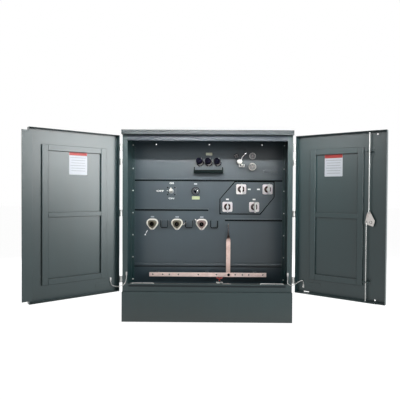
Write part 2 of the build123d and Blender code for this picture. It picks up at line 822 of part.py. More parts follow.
# ---------------------------------------------------------------- bonding wires
wire_radius = 3.2
lug_barrel = 4.6                # radius of the crimped barrel
lug_length = 14.0
jamb_lug_x = half_width - 38.0
jamb_lug_z = 412.0
door_lug_x = door_edge - 62.0    # on the closed door
door_lug_left_z = 360.0         # wire comes from below
door_lug_right_z = 349.0        # wire comes from above
left_wire_points = [
    (-722, -554.6, 412), (-722, -554.6, 376), (-738, -564, 332), (-790, -575, 316), (-842, -567, 323),
    (-862.2, -558.2, 342), (-862.2, -558.2, 360),
]
right_wire_points = [
    (722, -554.6, 412), (722, -554.6, 382), (717, -562, 350), (756, -576, 334), (806, -571, 366),
    (846, -558, 386), (862.1, -550.4, 370), (862.1, -550.4, 349),
]


def wire(name, points):
    """Round wire along straight runs joined by tangent arcs."""
    corners = [Vector(*point) for point in points]
    runs = [after - before for before, after in zip(corners, corners[1:])]
    radii = []
    for before, after in zip(runs, runs[1:]):
        half_turn = radians(before.get_angle(after) / 2)
        radii.append(0.45 * min(before.length, after.length) / tan(half_turn))
    path = FilletPolyline(*corners, radius=radii)
    print(name, "length", round(path.length, 1), "radii", [round(radius) for radius in radii])
    start = Plane(origin=path @ 0, z_dir=path % 0)
    return sweep(start * Circle(wire_radius), path=path)


def jamb_lug():
    """Crimp lug bolted to the face of the right jamb."""
    y = front - lug_barrel
    barrel = post(jamb_lug_x, y, lug_barrel, jamb_lug_z, jamb_lug_z + lug_length)
    tongue = block(jamb_lug_x - 7, jamb_lug_x + 7, front - 3, front, jamb_lug_z + 6, jamb_lug_z + 34)
    bolt = Pos(jamb_lug_x, front - 3, jamb_lug_z + 25) * extrude(Plane.XZ * RegularPolygon(7, 6), 5)
    return barrel + tongue + bolt


def door_lug(z, up):
    """Crimp lug bolted to the closed right door's panel; up is 1 when the wire comes from below."""
    face = door_back_y + thin_sheet
    ends = sorted((z, z + up * lug_length))
    barrel = post(door_lug_x, face + lug_barrel, lug_barrel, *ends)
    ends = sorted((z + up * 6, z + up * 34))
    tongue = block(door_lug_x - 7, door_lug_x + 7, face, face + 3, *ends)
    bolt = Pos(door_lug_x, face + 8, z + up * 25) * extrude(Plane.XZ * RegularPolygon(7, 6), 5)
    return barrel + tongue + bolt


def build():
    os.makedirs("parts", exist_ok=True)
    save("base_frame", *base_frame())
    save("tank_shell", tank_shell())
    save("tank_cover", tank_cover())
    save("tank_front_plate", front_plate())
    save("front_plate_ribs", *plate_ribs())
    lug_ys = (plate_y + 130, tank_back - 130)
    save("lifting_lugs", *[lifting_lug(side * tank_half, y) for side in (-1, 1) for y in lug_ys])
    middle = (radiator_panels - 1) / 2
    panels = []
    collectors = []
    for centre in (-radiator_centre, radiator_centre):
        panels += [radiator_panel(centre + (number - middle) * radiator_pitch)
                   for number in range(radiator_panels)]
        collectors += [collector(centre, z) for z in (radiator_low + 70, radiator_high - 70)]
    save("radiator_panels", *panels)
    save("radiator_collectors", *collectors)

    side = cabinet_side()
    save("cabinet_side_right", side)
    save("cabinet_side_left", mirrored(side))
    save("door_header", header())
    save("door_ledge", ledge())
    save("front_sill", sill())
    save("cabinet_roof", roof())

    fixed = [hinge_fixed(z) for z in hinge_levels]
    moving = [hinge_moving(z) for z in hinge_levels]
    save("hinge_leaves", *fixed, *[mirrored(leaf) for leaf in fixed])
    save("door_hinges_right", *[open_right(leaf) for leaf in moving])
    save("door_hinges_left", *[open_left(mirrored(leaf)) for leaf in moving])

    shaft_hole = disc(latch_x, latch_z, shaft_radius + 0.08, door_back_y - 1, door_back_y + thin_sheet + 1)
    save("door_right", open_right(door_pan(lip_clearance) - shaft_hole - right_panel_holes()))
    save("door_left", open_left(mirrored(door_pan(0))))
    save("door_left_lip", open_left(mirrored(lip())))
    save("door_stiffener_right", *[open_right(bar) for bar in stiffener(right_frame_margins)])
    save("door_stiffener_left", *[open_left(mirrored(bar)) for bar in stiffener(left_frame_margins)])
    save("latch_cam", open_right(cam()))
    save("latch_handle", open_right(latch_handle()))
    save("latch_rod_upper", open_right(rod(upper_pin, door_top - thin_sheet - rod_end_gap)))
    save("latch_rod_lower", open_right(rod(lower_pin, door_bottom + thin_sheet + rod_end_gap)))
    upper_guide = rod_guide(latch_x + upper_pin[0], guide_top, 64)
    lower_guide = rod_guide(latch_x + lower_pin[0], guide_bottom, 40)
    save("latch_guides", open_right(upper_guide), open_right(lower_guide))

    save("lv_plate", lv_plate())
    save("lv_clamps", *[lv_clamp(x, z) for x, z in lv_centres])
    save("lv_bushings", *[lv_body(x, z) for x, z in lv_centres])
    save("lv_spades", *[lv_spade(x, z) for x, z in lv_centres])
    save("hv_wells", *[hv_well(x) for x in hv_xs])
    save("hv_clamps", *[hv_clamp(x) for x in hv_xs])
    save("parking_pockets", *[parking_pocket(x) for x in pocket_xs])
    save("fuse_holders", *[fuse(x) for x in fuse_xs])
    save("drip_tray", drip_tray())
    save("gauges", gauge(272.0, roof_bottom - 151, 24.5, 40), gauge(430.0, roof_bottom - 151, 31.5, 50),
         gauge(429.0, roof_bottom - 256, 36.5, 50))
    save("relief_valve", relief_valve())
    save("switch_base", switch_base())
    save("switch_handle", switch_handle())
    save("tap_dial", tap_base())
    save("tap_knob", tap_knob())
    save("paper_holder", holder())
    save("ground_bus", ground_bus())
    save("ground_bus_standoffs", *standoffs())
    save("ground_strap", ground_strap())
    save("drain_valve", drain_valve())
    save("drain_wheel", drain_wheel())
    save("bond_lugs_cabinet", jamb_lug(), mirrored(jamb_lug()))
    save("bond_lug_right", open_right(door_lug(door_lug_right_z, -1)))
    save("bond_lug_left", open_left(mirrored(door_lug(door_lug_left_z, 1))))
    save("bond_wire_left", wire("left wire", left_wire_points))
    save("bond_wire_right", wire("right wire", right_wire_points))


build()
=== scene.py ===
"""Looks of a pad-mounted transformer with its doors open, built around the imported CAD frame."""
import json
import math

import bmesh
import bpy
from mathutils import Matrix, Vector

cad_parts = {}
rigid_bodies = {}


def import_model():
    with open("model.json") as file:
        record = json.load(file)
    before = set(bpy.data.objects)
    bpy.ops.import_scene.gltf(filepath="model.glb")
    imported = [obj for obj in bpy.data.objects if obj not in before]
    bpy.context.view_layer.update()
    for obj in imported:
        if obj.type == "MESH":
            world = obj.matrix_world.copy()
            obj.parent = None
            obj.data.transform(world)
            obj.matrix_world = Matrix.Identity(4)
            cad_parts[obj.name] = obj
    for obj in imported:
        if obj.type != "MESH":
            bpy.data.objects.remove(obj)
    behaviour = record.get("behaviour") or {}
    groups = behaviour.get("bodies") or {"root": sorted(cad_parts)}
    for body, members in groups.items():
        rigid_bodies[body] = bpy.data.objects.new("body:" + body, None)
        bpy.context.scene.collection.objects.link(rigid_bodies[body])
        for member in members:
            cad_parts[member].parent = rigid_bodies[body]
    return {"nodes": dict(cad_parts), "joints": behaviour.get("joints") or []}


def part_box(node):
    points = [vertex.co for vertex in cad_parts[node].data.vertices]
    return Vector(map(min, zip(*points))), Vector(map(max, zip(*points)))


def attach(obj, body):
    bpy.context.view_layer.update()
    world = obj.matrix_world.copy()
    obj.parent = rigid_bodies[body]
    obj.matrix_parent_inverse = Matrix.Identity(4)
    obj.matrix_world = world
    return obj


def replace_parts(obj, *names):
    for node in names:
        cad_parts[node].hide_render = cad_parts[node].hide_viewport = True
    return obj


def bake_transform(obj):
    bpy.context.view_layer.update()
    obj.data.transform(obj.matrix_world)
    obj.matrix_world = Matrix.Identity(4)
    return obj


for leftover in list(bpy.data.objects):
    bpy.data.objects.remove(leftover)
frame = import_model()
NODES = frame["nodes"]
JOINTS = {joint["name"]: joint for joint in frame["joints"]}
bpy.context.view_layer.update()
scene = bpy.context.scene


def placed(name, data):
    """A new object in the scene."""
    made = bpy.data.objects.new(name, data)
    scene.collection.objects.link(made)
    return made


# ---------- camera
CAMERA_AT = Vector((0.087988, -4.22903, 1.154547))
CAMERA_YAW, CAMERA_PITCH, CAMERA_ROLL = -0.006531, -0.016249, 0.006154  # radians
CAMERA_LENS = 37.084  # mm
CAMERA_SHIFT = -0.03653


def make_camera():
    """A camera that looks along +Y, turned a little by its yaw, pitch and roll."""
    data = bpy.data.cameras.new("camera")
    data.lens = CAMERA_LENS
    data.shift_x = CAMERA_SHIFT
    scene.camera = camera = placed("camera", data)
    yaw = Matrix.Rotation(-CAMERA_YAW, 4, "Z")
    pitch = Matrix.Rotation(math.radians(90) + CAMERA_PITCH, 4, "X")
    camera.matrix_world = Matrix.Translation(CAMERA_AT) @ yaw @ pitch @ Matrix.Rotation(CAMERA_ROLL, 4, "Z")


make_camera()
scene.view_settings.view_transform = "Standard"


# ---------- shader nodes
class Nodes:
    """Nodes of one shader tree. An input is a value, a colour of three numbers, or a node's output."""

    def __init__(self, tree):
        self.tree = tree

    def node(self, kind, inputs=(), out=0, **settings):
        made = self.tree.nodes.new("ShaderNode" + kind)
        for key, value in settings.items():
            setattr(made, key, value)
        for socket, value in dict(inputs).items():
            self.feed(made.inputs[socket], value)
        return made.outputs[out]

    def feed(self, socket, value):
        if isinstance(value, bpy.types.NodeSocket):
            self.tree.links.new(value, socket)
        else:
            socket.default_value = (*value, 1) if socket.type == "RGBA" else value

    def ease(self, value, low, high, to_low=0, to_high=1):
        return self.node("MapRange", {"Value": value, "From Min": low, "From Max": high,
                                      "To Min": to_low, "To Max": to_high})

    def maths(self, kind, a, b, clamp=False):
        return self.node("Math", {0: a, 1: b}, operation=kind, use_clamp=clamp)

    def seen(self):
        """1 for what the camera sees, directly or in a mirror or glass."""
        rays = [self.node("LightPath", out=f"Is {ray} Ray") for ray in ("Camera", "Glossy", "Transmission")]
        return self.maths("MAXIMUM", self.maths("MAXIMUM", rays[0], rays[1]), rays[2])


class Finish(Nodes):
    """A procedural material. A value that is the same all over is set on the shader's own socket."""

    made = {}

    def __init__(self, name, settings):
        self.material = self.made[name] = bpy.data.materials.new(name)
        self.material.use_nodes = True
        super().__init__(self.material.node_tree)
        self.shader = self.tree.nodes["Principled BSDF"]
        for socket, value in settings.items():
            self.set(socket, value)

    def set(self, socket, value):
        self.feed(self.shader.inputs[socket], value)

    def place(self, kind="Object", stretch=None):
        at = self.node("TexCoord", out=kind)
        return self.node("Mapping", {"Vector": at, "Scale": stretch}) if stretch else at

    def noise(self, scale, detail=2, stretch=None, rough=0.5):
        """Noise of scale cycles per metre, spread over 0 to 1."""
        found = self.node("TexNoise", {"Vector": self.place(stretch=stretch), "Scale": scale,
                                       "Detail": detail, "Roughness": rough})
        return self.ease(found, 0.3, 0.7)

    def mix(self, share, a, b, kind="MIX"):
        return self.node("Mix", {0: share, 6: a, 7: b}, out=2, data_type="RGBA", blend_type=kind)

    def tint(self, color, value, low, high):
        """color made from low to high times as light, as value goes from 0 to 1."""
        light = self.ease(value, 0, 1, low, high)
        grey = self.node("CombineColor", {0: light, 1: light, 2: light})
        return self.mix(1, color, grey, "MULTIPLY")

    def level(self, kind="Object"):
        """Height above the floor or, for kind Normal, how much the surface faces up."""
        return self.node("SeparateXYZ", {0: self.place(kind)}, out="Z")

    def rounded(self, radius):
        return self.node("Bevel", {"Radius": radius}, samples=4)

    def edges(self):
        """1 on outer and inner edges within 3 mm, 0 on flats."""
        pair = {0: self.rounded(0.003), 1: self.node("NewGeometry", out="Normal")}
        match = self.node("VectorMath", pair, out="Value", operation="DOT_PRODUCT")
        return self.ease(match, 0.995, 0.85)

    def bump(self, height, distance, strength, normal=None):
        inputs = {"Height": height, "Distance": distance, "Strength": strength}
        if normal is not None:
            inputs["Normal"] = normal
        return self.node("Bump", inputs)


RUBBED_AND_HIGHLIT = (0.17, 0.19, 0.18)  # paint worn thin on edges, and a painted highlight along them
DUST = (0.115, 0.12, 0.115)  # on dark paint
PALE_DUST = (0.4, 0.38, 0.34)  # on fittings
ROAD_DIRT = (0.1, 0.082, 0.062)
SPLASH_TOP = 0.22  # level that road dirt reaches
STRAP_SHADE = (0.06, 0.035, 0.03)  # painted shade on copper


def painted(name, color, rough=0.32, mottle=0.08, dust=0.3, edge_wear_and_highlight=0.35, ground=0.6, gloss=0.4):
    """Baked enamel on sheet steel: slow changes of tone, orange peel, edges made lighter, partly rubbed paint
    and partly a painted highlight, dust and road dirt.
    """
    fin = Finish(name, {"Specular IOR Level": gloss})
    tone = fin.tint(color, fin.noise(2.2, 3), 1 - mottle, 1 + mottle)
    runs = fin.noise(1, 4, stretch=(16, 16, 1.1))
    tone = fin.tint(tone, runs, 1 - mottle * 0.6, 1 + mottle * 0.4)
    tone = fin.tint(tone, fin.noise(260), 0.97, 1.03)
    patchy = fin.noise(34, 4, rough=0.65)
    # edges made lighter: partly paint rubbed thin, partly a painted highlight along them
    rub_and_highlight = fin.maths("MULTIPLY", fin.edges(), fin.ease(patchy, 0.25, 0.9))
    tone = fin.mix(fin.maths("MULTIPLY", rub_and_highlight, edge_wear_and_highlight), tone, RUBBED_AND_HIGHLIT)
    up = fin.ease(fin.level("Normal"), 0.5, 0.95)
    settled = fin.maths("MULTIPLY", up, fin.ease(patchy, 0, 1, dust * 0.5, dust))
    tone = fin.mix(settled, tone, DUST)
    low = fin.maths("POWER", fin.ease(fin.level(), SPLASH_TOP, 0), 1.6)
    splash = fin.maths("MULTIPLY", low, fin.ease(patchy, 0.1, 0.9, 0.15, ground))
    fin.set("Base Color", fin.mix(splash, tone, ROAD_DIRT))
    dull = fin.ease(patchy, 0, 1, rough, rough + 0.01)
    fin.set("Roughness", fin.maths("ADD", dull, fin.maths("MULTIPLY", up, 0.3), clamp=True))
    peel = fin.bump(fin.noise(420, 1), 0.00004, 0.5, fin.rounded(0.0015))
    fin.set("Normal", fin.bump(fin.noise(7, 1), 0.0001, 0.35, peel))
    return fin.material


def metal(name, color, rough=0.3, brushed=(1, 1, 1), stain=None, stained=0.25, mottle=0.08, shaded_above=None):
    """Bare or plated metal, with fine scratches and, where stain is given, tarnished patches.
    shaded_above is a level above which the metal is darkened all over, a painted shade."""
    fin = Finish(name, {"Metallic": 1})
    slow = fin.noise(30, 4, rough=0.6)
    fine = fin.noise(300, 3, stretch=brushed)
    tone = fin.tint(color, slow, 1 - mottle, 1 + mottle * 0.5)
    tone = fin.tint(tone, fine, 0.94, 1.04)
    if stain:
        patch = fin.ease(fin.noise(11, 6, rough=0.7), 0.52, 0.85)
        tone = fin.mix(fin.maths("MULTIPLY", patch, stained), tone, stain)
        slow = fin.maths("ADD", slow, patch, clamp=True)
    # painted shade: darker all over above a level
    if shaded_above:
        tone = fin.mix(fin.ease(fin.level(), shaded_above - 0.02, shaded_above + 0.03, 0, 0.9), tone, STRAP_SHADE)
    fin.set("Base Color", tone)
    fin.set("Roughness", fin.ease(slow, 0, 1, rough - 0.06, rough + 0.14))
    fin.set("Normal", fin.bump(fine, 0.00006, 0.5, fin.rounded(0.0008)))
    return fin.material


def moulded(name, color, rough=0.4, coat=0, mottle=0.06, grain=180, relief=0.0001, dust=0, gloss=0.5):
    """Moulded plastic, cast resin, glaze or printed paper, with faint flow marks and settled dust."""
    fin = Finish(name, {"Specular IOR Level": gloss, "Coat Weight": coat, "Coat Roughness": 0.08})
    flow = fin.noise(22, 3)
    fine = fin.noise(grain)
    tone = fin.tint(color, flow, 1 - mottle, 1 + mottle)
    tone = fin.tint(tone, fine, 0.97, 1.02)
    settled = fin.ease(fin.level("Normal"), 0.4, 0.95, 0, dust)
    fin.set("Base Color", fin.mix(settled, tone, PALE_DUST))
    fin.set("Roughness", fin.ease(flow, 0, 1, rough - 0.04, rough + 0.08))
    fin.set("Normal", fin.bump(fine, relief, 0.5, fin.rounded(0.0008)))
    return fin.material


def braided(name, color):
    """Woven sleeve on a flexible cable. The weave follows the cable's own UV map."""
    fin = Finish(name, {"Specular IOR Level": 0.35})
    across = fin.node("UVMap", uv_map="weave")
    strands = []
    for slope in (45, -45):
        bands = fin.node("Mapping", {"Vector": across, "Rotation": (0, 0, math.radians(slope))})
        strands.append(fin.node("TexWave", {"Vector": bands, "Scale": 2}, out="Fac"))
    weave = fin.maths("MAXIMUM", *strands)
    soil = fin.noise(60, 4)
    tone = fin.tint(color, weave, 0.72, 1.05)
    fin.set("Base Color", fin.tint(tone, soil, 0.88, 1.03))
    fin.set("Roughness", fin.ease(soil, 0, 1, 0.5, 0.7))
    fin.set("Normal", fin.bump(weave, 0.0004, 0.8))
    return fin.material


def clear(name):
    """Window glass with a faint film of dust."""
    fin = Finish(name, {"Base Color": (1, 1, 1), "IOR": 1.45, "Transmission Weight": 1})
    fin.set("Roughness", fin.ease(fin.noise(40, 4), 0, 1, 0.02, 0.12))
    return fin.material


GLASS = clear("glass")
CABINET = painted("cabinet_paint", (0.012, 0.037, 0.04), ground=0.2, gloss=0.7)
# the cabinet paint with its tone and gloss changed for the header alone: painted light
HEADER = painted("header_painted_light", (0.018, 0.031, 0.045), gloss=0.5)
painted("roof_paint", (0.034, 0.046, 0.05), rough=0.34, mottle=0.06, dust=0.35, gloss=0.35)
LEDGE = painted("ledge_paint", (0.012, 0.034, 0.037), rough=0.34, dust=0.5, gloss=0.65)
# dark strip for the shade in a groove along the ledge: painted shade
GROOVE_SHADE = painted("groove_painted_shade", (0.007, 0.012, 0.015), rough=0.4, dust=0.2, edge_wear_and_highlight=0, gloss=0.3)
painted("plate_paint", (0.029, 0.047, 0.059), rough=0.3, mottle=0.06, dust=0.2, gloss=0.7)
TRAY = painted("tray_paint", (0.0012, 0.005, 0.005), rough=0.5, mottle=0.1, dust=0.02, edge_wear_and_highlight=0, gloss=0.05)
DARK = painted("dark_paint", (0.022, 0.024, 0.025), rough=0.5, mottle=0.07, edge_wear_and_highlight=0.5)
STAINLESS = metal("stainless", (0.52, 0.52, 0.51), brushed=(1, 1, 0.05))
CAM_STEEL = metal("latch_steel", (0.5, 0.48, 0.46), rough=0.34, stain=(0.3, 0.19, 0.17), stained=0.6)
ZINC = metal("zinc", (0.52, 0.53, 0.52), rough=0.28, stain=(0.42, 0.43, 0.42), stained=0.5)
PLATED = metal("bright_bolts", (0.62, 0.62, 0.6), rough=0.25)
TINNED = metal("tinned", (0.52, 0.52, 0.51), rough=0.34, brushed=(1, 1, 0.1))
COPPER = metal("copper", (0.98, 0.79, 0.74), rough=0.42, brushed=(0.05, 1, 1), mottle=0.04,
               stain=(0.62, 0.42, 0.36))
# darker from 0.702 up, where the strap twists edge-on: painted shade
STRAP = metal("copper_strap", (0.66, 0.51, 0.46), brushed=(1, 1, 0.05),
              stain=(0.36, 0.2, 0.15), stained=0.35, shaded_above=0.702)
POLISHED = metal("polished_steel", (0.93, 0.93, 0.93), rough=0.12)
BRASS = metal("brass", (0.62, 0.5, 0.27), rough=0.38, stain=(0.25, 0.17, 0.08), stained=0.6)
CREAM = moulded("cream_casting", (0.76, 0.74, 0.68), rough=0.45, relief=0.0002, dust=0.2)
PORCELAIN = moulded("porcelain", (0.7, 0.66, 0.68), rough=0.3, mottle=0.04, dust=0.2)
EPOXY = moulded("brown_epoxy", (0.045, 0.021, 0.019), rough=0.25, coat=0.3, dust=0.2)
BLACK = moulded("black_plastic", (0.01, 0.01, 0.013), rough=0.42, dust=0.03, gloss=0.15)
FUSE_BLACK = moulded("fuse_black", (0.0045, 0.0045, 0.011), rough=0.6, gloss=0.03)
# near black and dull: painted shade in grooves, holes and outlines, and a few small dark parts
SHADE = moulded("black_painted_shade", (0.003, 0.004, 0.005), rough=0.8, gloss=0.05)
WHITE = moulded("white_plastic", (0.66, 0.66, 0.64), rough=0.35, mottle=0.03, dust=0.2)
RED = moulded("red_paint", (0.48, 0.045, 0.035), rough=0.3, coat=0.3, dust=0.2)
SLEEVE = braided("white_braid", (0.74, 0.74, 0.72))
LABEL = moulded("label_white", (0.57, 0.605, 0.65), rough=0.5, mottle=0.02, grain=90, dust=0.1)
LABEL_RED = moulded("label_red", (0.42, 0.035, 0.03), rough=0.45, mottle=0.03, grain=90, dust=0.1)
LABEL_BEIGE = moulded("label_beige", (0.44, 0.5, 0.28), rough=0.5, mottle=0.03, grain=90, dust=0.1)
LABEL_CREAM = moulded("label_cream", (0.62, 0.64, 0.5), rough=0.5, mottle=0.03, grain=90, dust=0.1)
LABEL_LINE = moulded("label_line", (0.3, 0.32, 0.35), rough=0.5, mottle=0.02, grain=90)
TAP_GREY = moulded("tap_grey", (0.065, 0.07, 0.085), mottle=0.25, dust=0.03, gloss=0.3)
DIAL_GREY = moulded("dial_grey", (0.14, 0.15, 0.16), mottle=0.03, grain=90)
DIAL_PALE = moulded("dial_pale", (0.27, 0.27, 0.26), mottle=0.03, grain=90)
KHAKI = moulded("resin_khaki", (0.105, 0.092, 0.06), gloss=0.3)
PINK_RESIN = moulded("resin_pink", (0.22, 0.155, 0.14), gloss=0.3)
# matte white caps that stand for the flange bolts' glints: painted highlight
GLINT_WHITE = moulded("white_cap_painted_glint", (0.85, 0.85, 0.84), mottle=0.02)
MARKING = moulded("marking_white", (0.68, 0.69, 0.68), rough=0.55, mottle=0.04, grain=120)

# nodes whose finish isn't the one named like their slot of the record
OWN_FINISH = {"drip_tray": TRAY, "ground_strap": STRAP, "drain_valve": PLATED, "door_ledge": LEDGE,
              "latch_cam": CAM_STEEL, "lv_clamps": PORCELAIN, "door_header": HEADER, "tap_dial": TAP_GREY,
              "tap_knob": FUSE_BLACK}
for name, node in NODES.items():
    for socket in node.material_slots:
        socket.material = OWN_FINISH.get(name) or Finish.made[socket.material.name]
    node.data.set_sharp_from_angle(angle=math.radians(30))


# ---------- shapes: a list of points and one of faces
FRONT, BACK, UP = (0, -1, 0), (0, 1, 0), (0, 0, 1)
SQUARE = ((-1, -1), (1, -1), (1, 1), (-1, 1))


def on_circle(radius, degrees):
    turn = math.radians(degrees)
    return radius * math.cos(turn), radius * math.sin(turn)


def circle(radius, sides):
    return [on_circle(radius, 360 * k / sides) for k in range(sides)]


def lathe(outline, sides=32):
    """A turned shape round +Z from (radius, z) points. Ends on the axis are closed."""
    points, faces, rings = [], [], []
    for radius, z in outline:
        if radius:
            rings.append(range(len(points), len(points) + sides))
            points += [(x, y, z) for x, y in circle(radius, sides)]
        else:
            rings.append([len(points)] * sides)
            points.append((0, 0, z))
    for low, high in zip(rings, rings[1:]):
        for k in range(sides):
            after = (k + 1) % sides
            corners = [low[k], low[after], high[after], high[k]]
            faces.append([c for n, c in enumerate(corners) if c not in corners[:n]])
    return points, faces


def turned(outline, sides=24):
    """A turned shape that is closed flat at both ends."""
    return lathe([(0, outline[0][1])] + outline + [(0, outline[-1][1])], sides)


def loop(major, minor, sides=40, around=12):
    """A round ring about +Z."""
    section = [on_circle(minor, 360 * k / around) for k in range(around + 1)]
    return lathe([(major + x, y) for x, y in section], sides)


def bar(rings):
    """A closed shape through rings of as many points each."""
    count = len(rings[0])
    points = [point for ring in rings for point in ring]
    last = len(points) - count
    faces = [[n + k, n + (k + 1) % count, n + count + (k + 1) % count, n + count + k]
             for n in range(0, last, count) for k in range(count)]
    return points, faces + [list(range(count))[::-1], list(range(last, last + count))]


def prism(outline, low, high):
    """A flat outline of (x, y) points, extruded along Z."""
    return bar([[(x, y, z) for x, y in outline] for z in (low, high)])


def slab(low, high):
    """A block between two corners."""
    outline = [(low[0], low[1]), (high[0], low[1]), (high[0], high[1]), (low[0], high[1])]
    return prism(outline, low[2], high[2])


def plate(width, height, corner, low, high, steps=4):
    """A rounded rectangle round the origin, extruded along Z."""
    outline = []
    for number, (sx, sy) in enumerate(((1, 1), (-1, 1), (-1, -1), (1, -1))):
        for k in range(steps + 1):
            x, y = on_circle(corner, 90 * (number + k / steps))
            outline.append((sx * (width / 2 - corner) + x, sy * (height / 2 - corner) + y))
    return prism(outline, low, high)


def ring_between(outer, inner, low, high):
    """A flat band between two outlines with as many points each."""
    corners = ((outer, low), (outer, high), (inner, high), (inner, low))
    rings = [[(x, y, z) for x, y in line] for line, z in corners]
    points, faces = bar(rings + rings[:1])
    count = len(points) - len(outer)
    return points[:count], [[n % count for n in face] for face in faces[:-2]]


def tube(points, radius, sides=12):
    """A round bar along points, with a frame carried along it so that it doesn't twist.
    radius is one number, or one for each point."""
    points = [Vector(p) for p in points]
    radii = radius if isinstance(radius, list) else [radius] * len(points)
    ways = [(b - a).normalized() for a, b in zip(points, points[1:])]
    ways = [ways[0]] + [(a + b).normalized() for a, b in zip(ways, ways[1:])] + [ways[-1]]
    side = ways[0].orthogonal().normalized()
    rings = []
    for at, way, reach in zip(points, ways, radii):
        side = (side - way * side.dot(way)).normalized()
        across = way.cross(side)
        rings.append([at + side * x + across * y for x, y in circle(reach, sides)])
    return bar(rings)


def meshed(curve):
    """The points and faces that Blender makes of a curve. The curve is used up."""
    holder = bpy.data.objects.new("holder", curve)
    mesh = bpy.data.meshes.new_from_object(holder)
    shape = [vert.co.copy() for vert in mesh.vertices], [list(face.vertices) for face in mesh.polygons]
    bpy.data.objects.remove(holder)
    bpy.data.curves.remove(curve)
    bpy.data.meshes.remove(mesh)
    return shape


def smooth_line(points):
    """Points along the NURBS spline that has the given points as its control points."""
    curve = bpy.data.curves.new("route", "CURVE")
    curve.dimensions = "3D"
    curve.resolution_u = 16
    spline = curve.splines.new("NURBS")
    spline.points.add(len(points) - 1)
    for point, at in zip(spline.points, points):
        point.co = (*at, 1)
    spline.order_u = 3
    spline.use_endpoint_u = True
    return meshed(curve)[0]


def lettering(text, size, thick=0.0003):
    """Plain painted letters in the XY plane, read from +Z."""
    curve = bpy.data.curves.new("letters", "FONT")
    curve.body, curve.size, curve.extrude = text, size, thick
    curve.align_x, curve.align_y = "CENTER", "CENTER"
    curve.offset = size * 0.035
    return meshed(curve)


# ---------- places
def aim(at, way=FRONT, spin=0):
    """A matrix that puts a shape at a point, with its Z along a direction and, where that is level,
    its Y up. FRONT is for a wall that faces the doors, BACK for a closed door's inner face."""
    turn = Vector(way).to_track_quat("Z", "Y").to_matrix().to_4x4()
    return Matrix.Translation(at) @ turn @ Matrix.Rotation(spin, 4, "Z")


def moved(offset, degrees=0):
    """A step away from the origin, then turned about Z."""
    return Matrix.Rotation(math.radians(degrees), 4, "Z") @ Matrix.Translation(offset)


def door_place(side):
    """From a point on the closed door to the same point on the open one."""
    joint = JOINTS[side + "_door_hinge"]
    pivot = Vector(joint["pos_m"])
    return moved(pivot) @ moved(-pivot, -joint["axis"][2] * joint["range_deg"][0])


def solids(node):
    """The lowest and highest corners of each separate solid in a CAD node, from low x to high x."""
    mesh = bmesh.new()
    mesh.from_mesh(NODES[node].data)
    bmesh.ops.remove_doubles(mesh, verts=mesh.verts, dist=1e-5)
    left, boxes = set(mesh.verts), []
    while left:
        stack, found = [left.pop()], []
        while stack:
            vert = stack.pop()
            found.append(vert.co.copy())
            near = {edge.other_vert(vert) for edge in vert.link_edges} & left
            left -= near
            stack += near
        boxes.append([Vector([pick(co[i] for co in found) for i in range(3)]) for pick in (min, max)])
    mesh.free()
    return sorted(boxes, key=lambda box: tuple(box[0]))


def middle(box):
    return (box[0] + box[1]) / 2


class Piece:
    """Shapes gathered into one mesh object, which rides on one body."""

    def __init__(self, name, slot, body="cabinet", place=Matrix.Identity(4)):
        self.name, self.slot, self.body, self.place = name, slot, body, place
        self.mesh = bmesh.new()
        self.finishes = []

    def add(self, shape, finish, at=Matrix.Identity(4)):
        if finish not in self.finishes:
            self.finishes.append(finish)
        corners = [self.mesh.verts.new(self.place @ at @ Vector(p)) for p in shape[0]]
        for face in shape[1]:
            made = self.mesh.faces.new([corners[k] for k in face])
            made.material_index = self.finishes.index(finish)
            made.smooth = True

    def tab(self, at, width, height, thick, finish, corner=0.001, steps=4):
        """A rounded tab on a wall that faces the doors."""
        self.add(plate(width, height, corner, 0, thick, steps), finish, aim(at))

    def bolt(self, at, across, finish=PLATED, way=FRONT, washer=False, spin=0, tail=0):
        """A hex head with its chamfer, on a washer if asked. tail adds a threaded end beyond it."""
        lift = across * 0.13 if washer else 0
        if washer:
            rim = across * 0.85
            self.add(turned([(rim, 0), (rim, lift * 0.7), (rim * 0.96, lift)]), finish, aim(at, way))
        top = lift + across * 0.42
        radius = across / math.sqrt(3)
        levels = ((radius, lift), (radius, top - across * 0.05), (radius * 0.9, top))
        self.add(bar([[(x, y, z) for x, y in circle(r, 6)] for r, z in levels]), finish, aim(at, way, spin))
        if tail:
            stem, end = across * 0.3, top + tail
            thread = turned([(stem, top - 0.001), (stem, end - stem * 0.3), (stem * 0.75, end)], 16)
            self.add(thread, finish, aim(at, way))

    def done(self, soften=0, sharp=32):
        """The finished object. soften is the radius of its edges, sharp the angle of a hard one."""
        bmesh.ops.recalc_face_normals(self.mesh, faces=self.mesh.faces)
        data = bpy.data.meshes.new(self.name)
        self.mesh.to_mesh(data)
        self.mesh.free()
        for finish in self.finishes:
            data.materials.append(finish)
        data.set_sharp_from_angle(angle=math.radians(sharp))
        made = placed(self.name, data)
        if soften:
            edge = made.modifiers.new("edges", "BEVEL")
            edge.width, edge.segments, edge.limit_method = soften, 2, "ANGLE"
            edge.angle_limit = math.radians(40)
        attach(made, self.body)
        return made


# ---------- earthing wires
WIRE = 0.0064  # diameter
WIRE_SIDES = 16
WIRE_ROUTES = {
    "left": ([(-0.722, -0.5546, 0.412), (-0.722, -0.5546, 0.376), (-0.738, -0.564, 0.332),
              (-0.79, -0.575, 0.316), (-0.842, -0.567, 0.323), (-0.8622, -0.5582, 0.342),
              (-0.8622, -0.5582, 0.36)], 0.233),
    "right": ([(0.722, -0.5546, 0.412), (0.722, -0.5546, 0.382), (0.717, -0.562, 0.35),
               (0.756, -0.576, 0.334), (0.806, -0.571, 0.366), (0.846, -0.558, 0.386),
               (0.8621, -0.5504, 0.37), (0.8621, -0.5504, 0.349)], 0.247),
}


